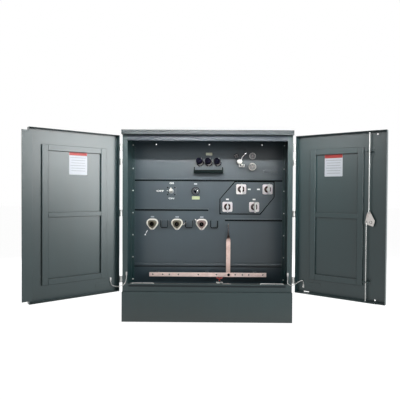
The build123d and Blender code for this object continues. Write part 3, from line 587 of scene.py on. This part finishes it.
def earthing_wire(side):
    """Braided wire from a lug on the cabinet to a lug on the door, with a UV map for its weave."""
    route, length = WIRE_ROUTES[side]
    line = smooth_line(route)
    points, faces = tube(line, WIRE / 2, WIRE_SIDES)
    name = "earthing_wire_" + side
    data = bpy.data.meshes.new(name)
    data.from_pydata(points, [], faces)
    data.shade_smooth()
    data.materials.append(SLEEVE)
    along = [0]
    for a, b in zip(line, line[1:]):
        along.append(along[-1] + (b - a).length)
    weave = data.uv_layers.new(name="weave")
    for face in data.polygons:
        first = face.vertices[0] % WIRE_SIDES
        for k in face.loop_indices:
            ring, around = divmod(data.loops[k].vertex_index, WIRE_SIDES)
            if around < first and len(face.vertices) == 4:
                around = WIRE_SIDES
            weave.data[k].uv = (4 * around / WIRE_SIDES, 4 * along[ring] / (math.pi * WIRE))
    wire = placed(name, data)
    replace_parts(wire, "bond_wire_" + side)
    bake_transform(wire)


earthing_wire("left")
earthing_wire("right")


# ---------- front plate and cabinet
PLATE_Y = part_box("tank_front_plate")[0].y  # front face of the plate
SIDE_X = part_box("cabinet_side_right")[1].x  # outer face of the cabinet's side
FLANGE_BOLT_LEVELS = (1.6275, 1.396, 1.178, 0.959, 0.74, 0.521, 0.3)
DOME_NUTS = [(x, 1.6365) for x in (-0.5207, 0.0055, 0.5278)]


def flange_bolts():
    """Bolts through the cabinet's side flanges with matte white caps, which are a painted glint, and dome
    nuts under the header.
    """
    piece = Piece("flange_bolts", "zinc")
    cap = [(0.0062, 0.003), (0.0058, 0.0065), (0.0035, 0.009), (0, 0.0098)]
    dome = [(0, 0), (0.0135, 0), (0.0135, 0.002), (0.0125, 0.006), (0.0095, 0.0105), (0.005, 0.0135),
            (0, 0.0145)]
    for side in (-1, 1):
        for z in FLANGE_BOLT_LEVELS:
            at = (side * (SIDE_X - 0.014), PLATE_Y - 0.004, z)
            piece.bolt(at, 0.011, POLISHED, spin=z * 7)
            # white cap: a painted glint
            piece.add(lathe(cap, 24), GLINT_WHITE, aim(at))
    for x, z in DOME_NUTS:
        piece.add(lathe(dome, 28), POLISHED, aim((x, PLATE_Y, z)))
    piece.done()


def plate_trims():
    """Near-black strips under the pressed beads and round the parking pockets, both a painted shade, and ends
    of the drip tray.
    """
    bead_shade = Piece("bead_painted_shade", "black_plastic")
    for low, high in solids("front_plate_ribs"):
        below = 0.004 if low.z < 0.5 else 0.012
        # near-black strip under each bead: painted shade
        bead_shade.add(slab((low.x, low.y + 0.003, low.z - below), (high.x, PLATE_Y, low.z + 0.002)), SHADE)
    bead_shade.done(soften=0.001)
    low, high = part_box("drip_tray")
    ends, width = Piece("tray_ends", "cabinet_paint"), 0.009
    for x in (low.x, high.x - width):
        ends.add(slab((x, PLATE_Y - 0.04, low.z), (x + width, PLATE_Y, high.z)), TRAY)
    ends.done(soften=0.001)
    pocket_shade = Piece("pocket_painted_shade", "black_plastic")
    wall, corner = 0.007, 0.012
    for low, high in solids("parking_pockets"):
        outer, inner = [[(low.x + inset, high.z), (low.x + inset, low.z + corner),
                         (low.x + corner, low.z + inset), (high.x - corner, low.z + inset),
                         (high.x - inset, low.z + corner), (high.x - inset, high.z)] for inset in (0, wall)]
        outline = outer + inner[::-1]
        points, faces = bar([[(x, y, z) for x, z in outline] for y in (low.y - 0.001, low.y + 0.012)])
        count, faces = len(outline), faces[:-2]
        for k in range(len(outer) - 1):
            quad = [k, k + 1, count - k - 2, count - k - 1]
            faces += [quad, [count + n for n in quad]]
        # near-black U round each pocket: painted shade
        pocket_shade.add((points, faces), SHADE)
    pocket_shade.done(soften=0.0008)


def strap_detail():
    """Copper strap up from the bar, which twists until it is edge-on and then joins the plate."""
    low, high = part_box("ground_strap")
    x, width, thick = (low.x + high.x) / 2, high.x - low.x, 0.004
    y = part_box("ground_bus")[1].y + thick / 2
    flat_top, twist, steps = high.z - 0.152, 0.14, 24
    shares = [k / steps for k in range(steps + 1)]
    turns = [(flat_top + twist * share, math.acos((1 - share) ** 2.2)) for share in shares]
    rings = []
    for z, turn in [(low.z, 0), (flat_top - 0.001, 0)] + turns + [(high.z, math.pi / 2)]:
        place = moved((x, y, z)) @ Matrix.Rotation(turn, 4, "Z")
        rings.append([place @ Vector((a * width / 2, b * thick / 2, 0)) for a, b in SQUARE])
    piece = Piece("ground_strap_detail", "copper")
    piece.add(bar(rings), STRAP)
    foot = (x - thick / 2, y + width / 2 - 0.001, high.z - 0.04)
    piece.add(slab(foot, (x + thick / 2, PLATE_Y, high.z)), STRAP)
    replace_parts(piece.done(soften=0.0004), "ground_strap")


def ledge_details():
    """Bare edges of the door stops, a dark strip that is the painted shade of a groove in the ledge, and a
    bright strip under the drain valve.
    """
    low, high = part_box("door_ledge")
    top = high.z
    piece = Piece("stop_edges", "stainless")
    for side in (-1, 1):
        ends = [(0.4775, -0.005), (0.4865, -0.0015), (0.492, -0.0005), (0.672, -0.0005), (0.6775, -0.0015),
                (0.6865, -0.005)]
        piece.add(tube([(side * x, low.y + 0.011, top + dz) for x, dz in ends], 0.0042, 10), STAINLESS)
    groove_shade = (low.x + 0.012, low.y - 0.0006, top - 0.031), (high.x - 0.012, low.y + 0.002, top - 0.016)
    # painted shade of a groove
    piece.add(slab(*groove_shade), GROOVE_SHADE)
    strip = moved((0.1775, low.y + 0.024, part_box("front_sill")[1].z + 0.07))
    piece.add(plate(0.077, 0.018, 0.002, 0, 0.0015), TINNED, strip)
    piece.done()


def blank_labels():
    """Bare labels and painted marks beside the fittings."""
    piece = Piece("plate_labels", "white_plastic")
    thick = 0.0008
    piece.tab((0.004, PLATE_Y, 1.5425), 0.062, 0.026, thick, LABEL_CREAM, 0.002)
    tap = middle(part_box("tap_dial"))
    piece.tab((tap.x + 0.001, PLATE_Y, tap.z - 0.066), 0.076, 0.031, thick, LABEL_BEIGE, 0.002)
    for low, high in solids("fuse_holders"):
        for dx, width in ((-0.006, 0.012), (0.012, 0.007)):
            piece.tab(((low.x + high.x) / 2 + dx, PLATE_Y, high.z + 0.001), width, 0.013, thick, MARKING)
    clamps = sorted(solids("lv_clamps"), key=lambda box: (-box[0].z, box[0].x))
    for box, (dx, dz) in zip(clamps, ((0.08, 0), (-0.089, 0), (0, 0.074), (0, 0.074))):
        at = middle(box)
        piece.tab((at.x + dx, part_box("lv_plate")[0].y, at.z + dz), 0.028, 0.013, thick, MARKING)
    for low, high in solids("hv_clamps"):
        piece.tab(((low.x + high.x) / 2, PLATE_Y, high.z + 0.018), 0.034, 0.013, 0.001, LABEL_LINE, 0.002)
    piece.done()


def switch_details():
    """Load-break switch: bolts of its base in near black, a painted shade, its ring and legends, and a hub
    with a raised grip.
    """
    centre = middle(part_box("switch_base"))
    base = Piece("switch_fittings", "zinc")
    reach, face = 0.0355, PLATE_Y - 0.008
    for a, b in SQUARE:
        # near-black bolt heads: painted shade
        base.bolt((centre.x + a * reach, face, centre.z + b * reach), 0.013, SHADE, spin=a * reach * 40)
    base.add(loop(0.0225, 0.0018), ZINC, aim((centre.x, PLATE_Y - 0.012, centre.z)))
    base.tab((centre.x - 0.029, PLATE_Y, centre.z - 0.012), 0.008, 0.018, 0.014, SHADE, 0.0015)
    base.tab((centre.x - 0.0395, face - 0.0002, centre.z + 0.004), 0.009, 0.008, 0.0006, MARKING)
    for text, dx, dz, wide in (("ON", 0.002, 0.077, 1.2), ("OFF", -0.112, 0, 1.9), ("ON", 0, -0.073, 1.6)):
        at = aim((centre.x + dx, PLATE_Y - 0.0004, centre.z + dz))
        base.add(lettering(text, 0.022), MARKING, at @ Matrix.Scale(wide, 4, (1, 0, 0)))
    base.done()
    handle = Piece("switch_handle_detail", "black_plastic", "switch")
    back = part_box("switch_handle")[1].y
    hub = [(0.0185, 0), (0.0185, 0.016), (0.0175, 0.022), (0.015, 0.026), (0.009, 0.026), (0.009, 0.02)]
    handle.add(turned(hub, 44), DIAL_PALE, aim((centre.x, back, centre.z)))
    grip = [(0.015, 0.002), (0.0165, 0.009), (0.0145, 0.017), (0.0075, 0.0215), (0.0075, 0.028),
            (0.004, 0.0335)]
    grip += [(-x, y) for x, y in grip[::-1]]
    handle.add(prism(grip, 0.026, 0.038), WHITE, aim((centre.x, back, centre.z)))
    for dx in (-0.0072, 0.0072):
        at = (centre.x + dx, back - 0.033, centre.z + 0.0245)
        handle.add(loop(0.0052, 0.0012, 24, 8), DARK, aim(at, (1, 0, 0)))
    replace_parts(handle.done(soften=0.0006), "switch_handle")


def tap_details():
    """Tap changer: numbers and ticks on its dial, and its knob's pointer, a polished arc on the right of its
    rim only, which is a painted glint, and set screw.
    """
    low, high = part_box("tap_dial")
    centre = (low + high) / 2
    dial = Piece("tap_numbers", "white_plastic")
    front = aim((centre.x, low.y - 0.0002, centre.z))
    for number in range(5):
        x, y = on_circle(0.0275, 150 - 30 * number)
        dial.add(lettering(str(number + 1), 0.009), DIAL_PALE, front @ moved((x, y, 0)))
    for step in range(9):
        mark = moved((0, 0.0205, 0), 60 - 15 * step)
        dial.add(plate(0.0008, 0.003, 0.0003, 0, 0.0003, 1), DIAL_PALE, front @ mark)
    dial.add(loop(0.0385, 0.0026), SHADE, aim((centre.x, low.y + 0.004, centre.z)))
    dial.tab((centre.x - 0.002, PLATE_Y, centre.z + 0.072), 0.03, 0.01, 0.0006, LABEL, 0.002)
    dial.done()
    low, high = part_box("tap_knob")
    knob = Piece("tap_pointer", "white_plastic", "tap")
    knob.tab((centre.x, low.y - 0.0001, high.z - 0.012), 0.0022, 0.016, 0.0004, MARKING, 0.0008)
    # polished arc on the right side only, where the rim's glint falls: painted highlight
    rim = [on_circle(0.015, math.degrees(turn / 8)) for turn in range(-7, 8)]
    knob.add(tube([(centre.x + dx, high.y - 0.0218, centre.z + dz) for dx, dz in rim], 0.0024, 10), POLISHED)
    knob.bolt((high.x - 0.0005, low.y + 0.016, centre.z), 0.005, way=(1, 0, 0))
    knob.done()


def fuse_details():
    """Bayonet fuse holders: flange, threaded collar in matte white, which is a painted glint below the cap,
    and a ribbed black cap with its eye.
    """
    piece = Piece("fuse_holders_detail", "black_plastic")
    thread = [(0, 0.009)]
    for turn in range(6):
        thread += [(0.0238, 0.011 + turn * 0.004), (0.0256, 0.013 + turn * 0.004)]
    thread += [(0.0238, 0.035), (0, 0.036)]
    cap = [(0.0265, 0.034), (0.029, 0.037), (0.029, 0.082), (0.025, 0.089), (0.012, 0.091)]
    ridge = plate(0.003, 0.0034, 0.0012, 0, 0.04, 2)
    for box in solids("fuse_holders"):
        foot = (middle(box).x, PLATE_Y, middle(box).z - 0.004)
        base, at = aim(foot), aim(foot, (-0.12, -1, 0.2))
        piece.add(turned([(0.036, -0.002), (0.036, 0.007), (0.034, 0.009)], 40), FUSE_BLACK, base)
        # matte white collar, seen only below the cap: painted glint
        piece.add(lathe(thread, 40), WHITE, base)
        piece.add(turned(cap, 40), FUSE_BLACK, at)
        for rib in range(20):
            piece.add(ridge, FUSE_BLACK, at @ moved((0.0287, 0, 0.04), 18 * rib))
        for screw in range(3):
            spot = Vector((*on_circle(0.0335, 120 * screw + 30), 0.009))
            piece.bolt(base @ spot, 0.004, ZINC, spin=screw)
        piece.add(loop(0.0092, 0.0032, 28, 10), FUSE_BLACK, at @ aim((0, 0, 0.1045)))
        piece.add(turned([(0.007, 0.088), (0.006, 0.097)], 20), FUSE_BLACK, at)
    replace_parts(piece.done(), "fuse_holders")


# shares of a gauge's radius and depth, round its case from the neck to the inside of the bezel
GAUGE_CASE = ((0.42, 0.42), (0.9, 0.5), (0.96, 0.55), (0.96, 0.74), (1, 0.78), (1, 0.97), (0.975, 1),
              (0.88, 1), (0.85, 0.97))
# case, dial, ink and the needle's turn from upright, in radians
GAUGE_LOOKS = ((FUSE_BLACK, BLACK, DIAL_PALE, None), (STAINLESS, DIAL_GREY, BLACK, 0.4),
               (CREAM, DIAL_PALE, BLACK, -0.9))


def gauge_details():
    """Dial gauges with sunk dials under glass, ticks, plain numbers and needles."""
    piece = Piece("dial_gauges", "black_plastic")
    glass = Piece("gauge_glass", "white_plastic")
    boxes = sorted(solids("gauges"), key=lambda box: (box[0].x > 0.35, -box[0].z))
    for (low, high), (case, face, ink, needle) in zip(boxes, GAUGE_LOOKS):
        radius, depth = (high.x - low.x) / 2, high.y - low.y
        front = aim(((low.x + high.x) / 2, PLATE_Y, (low.z + high.z) / 2))
        dial = depth - 0.006
        neck = [(radius * 0.5, 0), (radius * 0.5, 0.012), (radius * 0.42, 0.014)]
        shell = [(radius * a, depth * b) for a, b in GAUGE_CASE]
        piece.add(turned(neck + shell + [(radius * 0.85, dial)], 48), case, front)
        piece.add(turned([(radius * 0.84, dial), (radius * 0.84, dial + 0.0006)], 48), face, front)
        level = dial + 0.0007
        for step in range(21):
            degrees = 13.5 * step - 135
            long = step % 5 == 0
            width, length, out = (0.0011, 0.15, 0.73) if long else (0.0006, 0.09, 0.76)
            tick = plate(width, radius * length, 0.0002, level, level + 0.0002, 1)
            piece.add(tick, ink, front @ moved((0, radius * out, 0), -degrees))
            if long:
                spot = moved((*on_circle(radius * 0.52, 90 - degrees), level + 0.0002))
                piece.add(lettering(str(step * 5), radius * 0.2, 0.0001), ink, front @ spot)
        if needle is not None:
            blade = [(-0.0012, -0.008), (0.0012, -0.008), (0.0004, radius * 0.68), (-0.0004, radius * 0.68)]
            turn = Matrix.Rotation(needle, 4, "Z")
            piece.add(prism(blade, level + 0.0012, level + 0.0017), RED, front @ turn)
        pin = [(0, level), (0.0034, level), (0.0026, level + 0.0026), (0, level + 0.003)]
        piece.add(lathe(pin, 20), case, front)
        pane = [(radius * 0.855, depth - 0.0022), (radius * 0.855, depth - 0.0006)]
        glass.add(turned(pane, 48), GLASS, front)
    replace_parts(piece.done(), "gauges")
    glass.done()


def relief_details():
    """Pressure relief valve: nut, domed cap, cranked pull lever with its ball, and a stem in its bracket."""
    centre = middle(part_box("relief_valve"))

    def spot(dx, out, dz):
        return centre.x + dx, PLATE_Y - out, centre.z + dz

    piece = Piece("relief_valve_detail", "white_plastic")
    piece.add(prism(circle(0.022, 6), 0, 0.014), BRASS, aim(spot(0, 0, 0)))
    cap = [(0, 0.014), (0.017, 0.014), (0.016, 0.024), (0.0235, 0.027), (0.025, 0.03), (0.025, 0.046),
           (0.0235, 0.05), (0.0175, 0.0535), (0.0075, 0.0555), (0.0065, 0.0575), (0, 0.058)]
    piece.add(lathe(cap, 44), WHITE, aim(spot(0, 0, 0)))
    lever = [spot(0.012, 0.05, 0.012), spot(0.02, 0.056, 0.024), spot(0.024, 0.058, 0.046),
             spot(0.043, 0.057, 0.06), spot(0.052, 0.056, 0.074)]
    piece.add(tube(smooth_line(lever), 0.0052, 14), POLISHED)
    ball = [(0, -0.011), (0.006, -0.0105), (0.0125, -0.006), (0.0135, 0), (0.0125, 0.006), (0.006, 0.0105),
            (0, 0.011)]
    piece.add(lathe(ball, 28), POLISHED, aim(spot(0.055, 0.057, 0.079), (0.2, -1, 0.35)))
    piece.tab(spot(0.022, 0, -0.05), 0.052, 0.005, 0.034, WHITE, steps=2)
    for dx in (-0.0015, 0.0455):
        piece.tab(spot(dx, 0, -0.039), 0.005, 0.026, 0.034, WHITE, steps=2)
    piece.add(turned([(0.01, 0), (0.01, 0.02), (0.007, 0.024)], 28), STAINLESS, aim(spot(0.024, 0, -0.032)))
    piece.bolt(spot(0.024, 0.024, -0.032), 0.01, spin=0.3)
    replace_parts(piece.done(soften=0.0005), "relief_valve")


def rounded_triangle(corner, reach, point, steps=12):
    """Hull of three circles, one of them down. point is the lowest circle's own corner and reach."""
    outline = []
    for angle in (30, 150, 270):
        if angle == 270:
            corner, reach = point
        cx, cy = on_circle(reach, angle)
        for k in range(steps + 1):
            x, y = on_circle(corner, angle - 60 + 120 * k / steps)
            outline.append((cx + x, cy + y))
    return outline


# routes of the three bail levers, across and up from their well's middle
BAILS = (((-0.047, -0.065), (-0.058, -0.084), (-0.068, -0.108)),
         ((0.058, -0.008), (0.068, -0.004), (0.085, 0.013)),
         ((-0.046, 0.018), (-0.056, 0.028), (-0.06, 0.045)))


def hv_details():
    """High-voltage bushing wells: pale rim, resin flange, deep socket with its stud, and bail levers. The
    socket and its collar are near black and the stud dark brown, a painted shade inside the well.
    """
    piece = Piece("hv_bushings", "brown_epoxy")
    outer = rounded_triangle(0.0415, 0.0185, (0.031, 0.029))
    inner = rounded_triangle(0.028, 0.0185, (0.0175, 0.0285))
    filling = rounded_triangle(0.0282, 0.0185, (0.0177, 0.0285))
    well = [(0.0385, 0.004), (0.0385, 0.012), (0.037, 0.02), (0.034, 0.056), (0.0325, 0.06), (0.026, 0.06),
            (0.0225, 0.057), (0.02, 0.012), (0, 0.012)]
    socket = [(0.0222, 0.054), (0.0198, 0.014), (0, 0.014)]
    collar = [(0.0085, 0.014), (0.0085, 0.034), (0.007, 0.036), (0.0045, 0.036)]
    stud = [(0, 0.013), (0.004, 0.013), (0.004, 0.034), (0.003, 0.037), (0, 0.0375)]
    knob = [(0, -0.008), (0.0055, -0.006), (0.0075, 0), (0.0055, 0.006), (0, 0.008)]
    for (low, high), resin, bail in zip(solids("hv_clamps"), (KHAKI, KHAKI, PINK_RESIN), BAILS):
        x, z = (low.x + high.x) / 2, high.z - 0.05
        front = aim((x, PLATE_Y, z))
        piece.add(ring_between(outer, inner, 0, 0.014), CREAM, front)
        piece.add(prism(filling, 0, 0.006), resin, front)
        piece.add(lathe(well, 48), resin, front)
        # socket and collar near black, stud dark brown: painted shade inside the well
        for outline, sides, finish in ((socket, 40, SHADE), (collar, 28, SHADE), (stud, 20, EPOXY)):
            piece.add(lathe(outline, sides), finish, front)
        for angle, reach in ((30, 0.0445), (150, 0.0445), (270, 0.0525)):
            dx, dz = on_circle(reach, angle)
            piece.bolt((x + dx, PLATE_Y - 0.014, z + dz), 0.008, resin, spin=angle * 0.1)
        line = [(x + dx, PLATE_Y - 0.012 - 0.004 * k, z + dz) for k, (dx, dz) in enumerate(bail)]
        piece.add(tube(smooth_line(line), 0.0042), POLISHED)
        piece.add(lathe(knob, 20), PLATED, aim(line[-1]))
    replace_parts(piece.done(), "hv_clamps", "hv_wells")


def lv_details():
    """Low-voltage bushings: clamping bolts, resin bodies behind the spades, and a near-black outline round
    their plate, a painted shade.
    """
    bolts = Piece("lv_clamp_bolts", "zinc")
    sheds = Piece("lv_sheds", "brown_epoxy")
    shed = [(0.0335, -0.004), (0.0335, 0.004), (0.0295, 0.008), (0.0285, 0.014), (0.0325, 0.017),
            (0.0325, 0.021), (0.0275, 0.025), (0.0265, 0.031), (0, 0.0318)]
    for low, high in solids("lv_clamps"):
        at = middle((low, high))
        for a, b in SQUARE:
            bolts.bolt((at.x + a * 0.0385, low.y, at.z + b * 0.0395), 0.009, CREAM, spin=a + b, tail=0.003)
        sheds.tab((at.x + 0.0345, low.y, at.z), 0.012, 0.062, 0.034, PORCELAIN, 0.003)
        sheds.add(lathe(shed, 40), EPOXY, aim((at.x, low.y, at.z)))
    bolts.done()
    sheds.done()
    margin = Vector((0.01, 0, 0.01))
    low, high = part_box("lv_plate")[0] - margin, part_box("lv_plate")[1] + margin
    outline = [(low.x + 0.149, high.z), (high.x, high.z), (high.x, high.z - 0.156), (high.x - 0.137, low.z),
               (low.x, low.z), (low.x, high.z - 0.177)]
    # near-black outline round the plate: painted shade
    outline_shade = Piece("lv_plate_painted_shade", "black_plastic")
    outline_shade.add(prism(outline, 0, 0.004), SHADE, aim((0, PLATE_Y, 0)))
    outline_shade.done()


def earthing_details():
    """Heads of the copper bar's studs, and the bolt of its strap."""
    piece = Piece("earth_bar_bolts", "zinc")
    low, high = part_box("ground_bus")
    level = (low.z + high.z) / 2
    stud = [(0, 0), (0.008, 0), (0.0072, 0.0012), (0.004, 0.0018), (0, 0.002)]
    for box in solids("ground_bus_standoffs"):
        piece.add(lathe(stud, 24), COPPER, aim((middle(box).x, low.y, level)))
    strap = middle(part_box("ground_strap"))
    piece.bolt((strap.x + 0.005, low.y, level), 0.016, SHADE, washer=True, spin=0.2, tail=0.006)
    piece.done()


def drain_details():
    """Red handwheel with a round rim, dished spokes and a nut, and the valve's gland with its bolts."""
    low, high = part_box("drain_wheel")
    axis, radius, top = (low + high) / 2, (high.x - low.x) / 2, high.z - 0.009
    axis.z = 0
    wheel = Piece("drain_handwheel", "red_paint", "valve_wheel")
    raised = moved((axis.x, axis.y, top))
    wheel.add(loop(radius - 0.0062, 0.006, 44, 14), RED, raised)
    hub = [(0.007, low.z), (0.007, top - 0.008), (0.0105, top - 0.006), (0.0115, top + 0.003),
           (0.009, top + 0.006)]
    wheel.add(turned(hub, 28), RED, moved(axis))
    line = smooth_line([(0.008, 0, -0.003), (0.014, 0, -0.004), (0.02, 0, -0.002), (radius - 0.006, 0, 0)])
    taper = [0.0052 - 0.0016 * k / (len(line) - 1) for k in range(len(line))]
    for spoke in range(3):
        wheel.add(tube(line, taper), RED, raised @ moved((0, 0, 0), 120 * spoke + 90))
    wheel.bolt((axis.x, axis.y, top + 0.005), 0.01, ZINC, UP)
    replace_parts(wheel.done(), "drain_wheel")
    nuts = Piece("drain_gland_nuts", "zinc")
    for dx in (-0.024, 0.024):
        nuts.bolt((axis.x + dx, axis.y, low.z - 0.0145), 0.014, POLISHED, UP, washer=True, tail=0.006)
    nuts.add(prism(circle(0.0125, 6), low.z - 0.02, low.z - 0.0005), POLISHED, moved(axis))
    nuts.done()


# ---------- doors, latch and tank
PANEL_Y = -0.615  # inner face of a closed door's panel
CAM_AT = (0.12, -0.58, 0.928)  # the cam plate's inner face on the shaft's axis, with the door closed
PIN_TOP = -0.5692  # inner end of the rods' pins
ROD_PINS = ((0.016, 0.075), (0.035, 0.004))  # across and up from the shaft
# label's middle, bottom and top, then the small plate's middle
DOOR_MARKS = {"left": (-0.408, 1.304, 1.5, -0.622, 0.34), "right": (0.44, 1.305, 1.495, 0.606, 0.357)}


def hinge_screws():
    """Countersunk screws in the hinges' cabinet leaves."""
    piece = Piece("hinge_screws_cabinet", "zinc")
    screw = [(0.0048, 0), (0.0046, 0.0006), (0.0022, 0.0012), (0.002, 0.0004)]
    for low, high in solids("hinge_leaves"):
        side = 1 if low.x > 0 else -1
        for z in (low.z + 0.018, high.z - 0.018):
            at = (side * (SIDE_X + 0.003), high.y - 0.013, z)
            piece.add(turned(screw, 20), ZINC, aim(at, (side, 0, 0)))
    piece.done()


def latch_details():
    """A thin near-black ring round the latch shaft's nut, a painted shadow, the nut itself, and the clips on
    its rods' pins.
    """
    piece = Piece("latch_fittings", "stainless", "latch", door_place("right"))
    x, y, z = CAM_AT
    # near-black ring round the nut: painted shadow
    piece.add(ring_between(circle(0.0112, 36), circle(0.0086, 36), 0, 0.0003), SHADE, aim((x, y, z), BACK))
    piece.add(turned([(0.0052, 0), (0.0052, 0.0025), (0.0042, 0.0032)]), PLATED, aim((x, y + 0.006, z), BACK))
    for dx, dz in ROD_PINS:
        u, v = x + dx, z + dz
        piece.add(loop(0.0048, 0.0009, 24, 8), BLACK, aim((u, PIN_TOP, v), BACK))
        clip = [(u - 0.0062, PIN_TOP, v + 0.001), (u, PIN_TOP + 0.0004, v), (u + 0.0066, PIN_TOP, v - 0.002)]
        piece.add(tube(clip, 0.0008, 8), ZINC)
    piece.done()


def tank_details():
    """Hand-hole bolts, weld beads round the lifting ears and plugs in the radiators' collectors."""
    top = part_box("tank_cover")[1].z
    lid = Piece("hatch_bolts", "zinc")
    centre = (0.03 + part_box("tank_shell")[1].y) / 2
    for k in range(12):
        x, y = on_circle(0.128, 30 * k + 15)
        lid.bolt((x, centre + y, top - 0.008), 0.019, ZINC, UP, washer=True, spin=k * 0.7, tail=0.004)
    lid.done()
    welds = Piece("ear_welds", "cabinet_paint")
    for low, high in solids("lifting_lugs"):
        side = 1 if low.x > 0 else -1
        wall = side * min(abs(low.x), abs(high.x))
        ends = (low.y, low.z), (high.y, low.z), (high.y, high.z), (low.y, high.z)
        ring = [Vector((wall, y, z)) for y, z in ends]
        for a, b in zip(ring, ring[1:] + ring[:1]):
            count = max(3, int((b - a).length / 0.006))
            line = [a.lerp(b, k / count) for k in range(count + 1)]
            uneven = [0.0036 + 0.0007 * math.sin(k * 2.4) for k in range(count + 1)]
            welds.add(tube(line, uneven, 10), CABINET)
    welds.done(sharp=60)
    plugs = Piece("collector_plugs", "zinc")
    plug = turned([(0.017, 0), (0.017, 0.004), (0.0155, 0.006)], 32)
    for low, high in solids("radiator_collectors"):
        y, z = high.y - 0.029, (low.z + high.z) / 2
        for end, way in ((low.x, -1), (high.x, 1)):
            out = (way, 0, 0)
            plugs.add(plug, CABINET, aim((end, y, z), out))
            plugs.bolt((end + way * 0.006, y, z), 0.017, ZINC, out)
    plugs.done()


def door_details(side):
    """Bare label with a band and ruled lines, and a small raised plate, placed on the closed door."""
    body, place = side + "_door", door_place(side)
    x, low, high, plate_x, plate_z = DOOR_MARKS[side]
    label = Piece("door_label_" + side, "white_plastic", body, place)
    at, top = aim((x, PANEL_Y, (low + high) / 2), BACK), (high - low) / 2
    label.add(plate(0.155, high - low, 0.004, 0, 0.0004), LABEL, at)
    label.add(plate(0.153, 0.032, 0.003, 0.0004, 0.0006), LABEL_RED, at @ moved((0, top - 0.017, 0)))
    for row in range(6):
        line = plate(0.118 if row % 3 else 0.132, 0.0045, 0.001, 0.0004, 0.0005, 1)
        label.add(line, LABEL_LINE, at @ moved((0, top - 0.052 - 0.022 * row, 0)))
    label.done()
    tag = Piece("door_plate_" + side, "cabinet_paint", body, place)
    tag.add(plate(0.12, 0.03, 0.003, 0, 0.0022), CABINET, aim((plate_x, PANEL_Y, plate_z), BACK))
    tag.done(soften=0.0008)


for build in (flange_bolts, plate_trims, strap_detail, ledge_details, blank_labels, switch_details,
              tap_details, fuse_details, gauge_details, relief_details, hv_details, lv_details,
              earthing_details, drain_details, hinge_screws, latch_details, tank_details):
    build()
door_details("left")
door_details("right")


# ---------- floor and light
FLOOR_REACH = 30
FLOOR_VEIL = 0.7  # share of plain white that rays from the camera see in the floor
FLOOR_GLOW = 1.34
WORLD_LEVEL = 0.07


def make_floor():
    """A plain pale floor that looks white, and keeps the object's shadow."""
    data = bpy.data.meshes.new("floor")
    data.from_pydata([(a * FLOOR_REACH, b * FLOOR_REACH, 0) for a, b in SQUARE], [], [(0, 1, 2, 3)])
    fin = Finish("floor_paper", {"Base Color": (0.8, 0.8, 0.8), "Roughness": 0.9})
    veil = fin.node("MixShader", {0: fin.maths("MULTIPLY", fin.seen(), FLOOR_VEIL), 1: fin.shader.outputs[0],
                                  2: fin.node("Emission", {"Strength": FLOOR_GLOW})})
    fin.feed(fin.tree.nodes["Material Output"].inputs[0], veil)
    data.materials.append(fin.material)
    placed("floor", data)


def make_world():
    """White where it is seen, and a low even light on the object."""
    world = bpy.data.worlds.new("studio")
    scene.world = world
    world.use_nodes = True
    nodes = Nodes(world.node_tree)
    back = world.node_tree.nodes["Background"].inputs
    nodes.feed(back["Color"], (1, 1, 1))
    nodes.feed(back["Strength"], nodes.ease(nodes.seen(), 0, 1, WORLD_LEVEL, 1))


def softbox(name, at, towards, width, height, power, spread=180):
    """A lamp box at a point. spread is how wide its beam opens, in degrees."""
    data = bpy.data.lights.new(name, "AREA")
    data.shape = "RECTANGLE"
    data.size, data.size_y = width, height
    data.energy = power
    data.spread = math.radians(spread)
    placed(name, data).matrix_world = aim(at, Vector(at) - Vector(towards))


make_floor()
make_world()
softbox("key_left", (-0.6, -4.4, 2.95), (-0.2, -0.3, 1.8), 1.5, 0.15, 8, 40)
softbox("key_middle", (0.6, -4.4, 2.95), (0.2, -0.3, 1.8), 1.5, 0.15, 3, 40)
softbox("key_right", (1.6, -4.2, 2.95), (0, -0.3, 1.8), 1.5, 0.15, 6, 40)
softbox("right_front", (3.5, -4, 2.3), (-0.5, -0.4, 1.9), 1.4, 1.4, 7.5, 40)
softbox("right_side", (3.4, -2.5, 1.6), (-1.1, -0.8, 0.9), 1.4, 2.2, 92)
softbox("left_front", (-2.4, -3.6, 2.6), (0.9, -0.8, 1.7), 1, 0.5, 3, 60)
softbox("overhead", (0, -1.5, 4.2), (0, -0.3, 1), 1.5, 1.5, 22)
softbox("back_left", (-3.4, 3.4, 1.5), (0, 0.4, 0.9), 1.6, 2, 110, 110)
softbox("back_right", (3.2, 3.6, 1.5), (0, 0.4, 0.9), 1.6, 2, 75, 110)
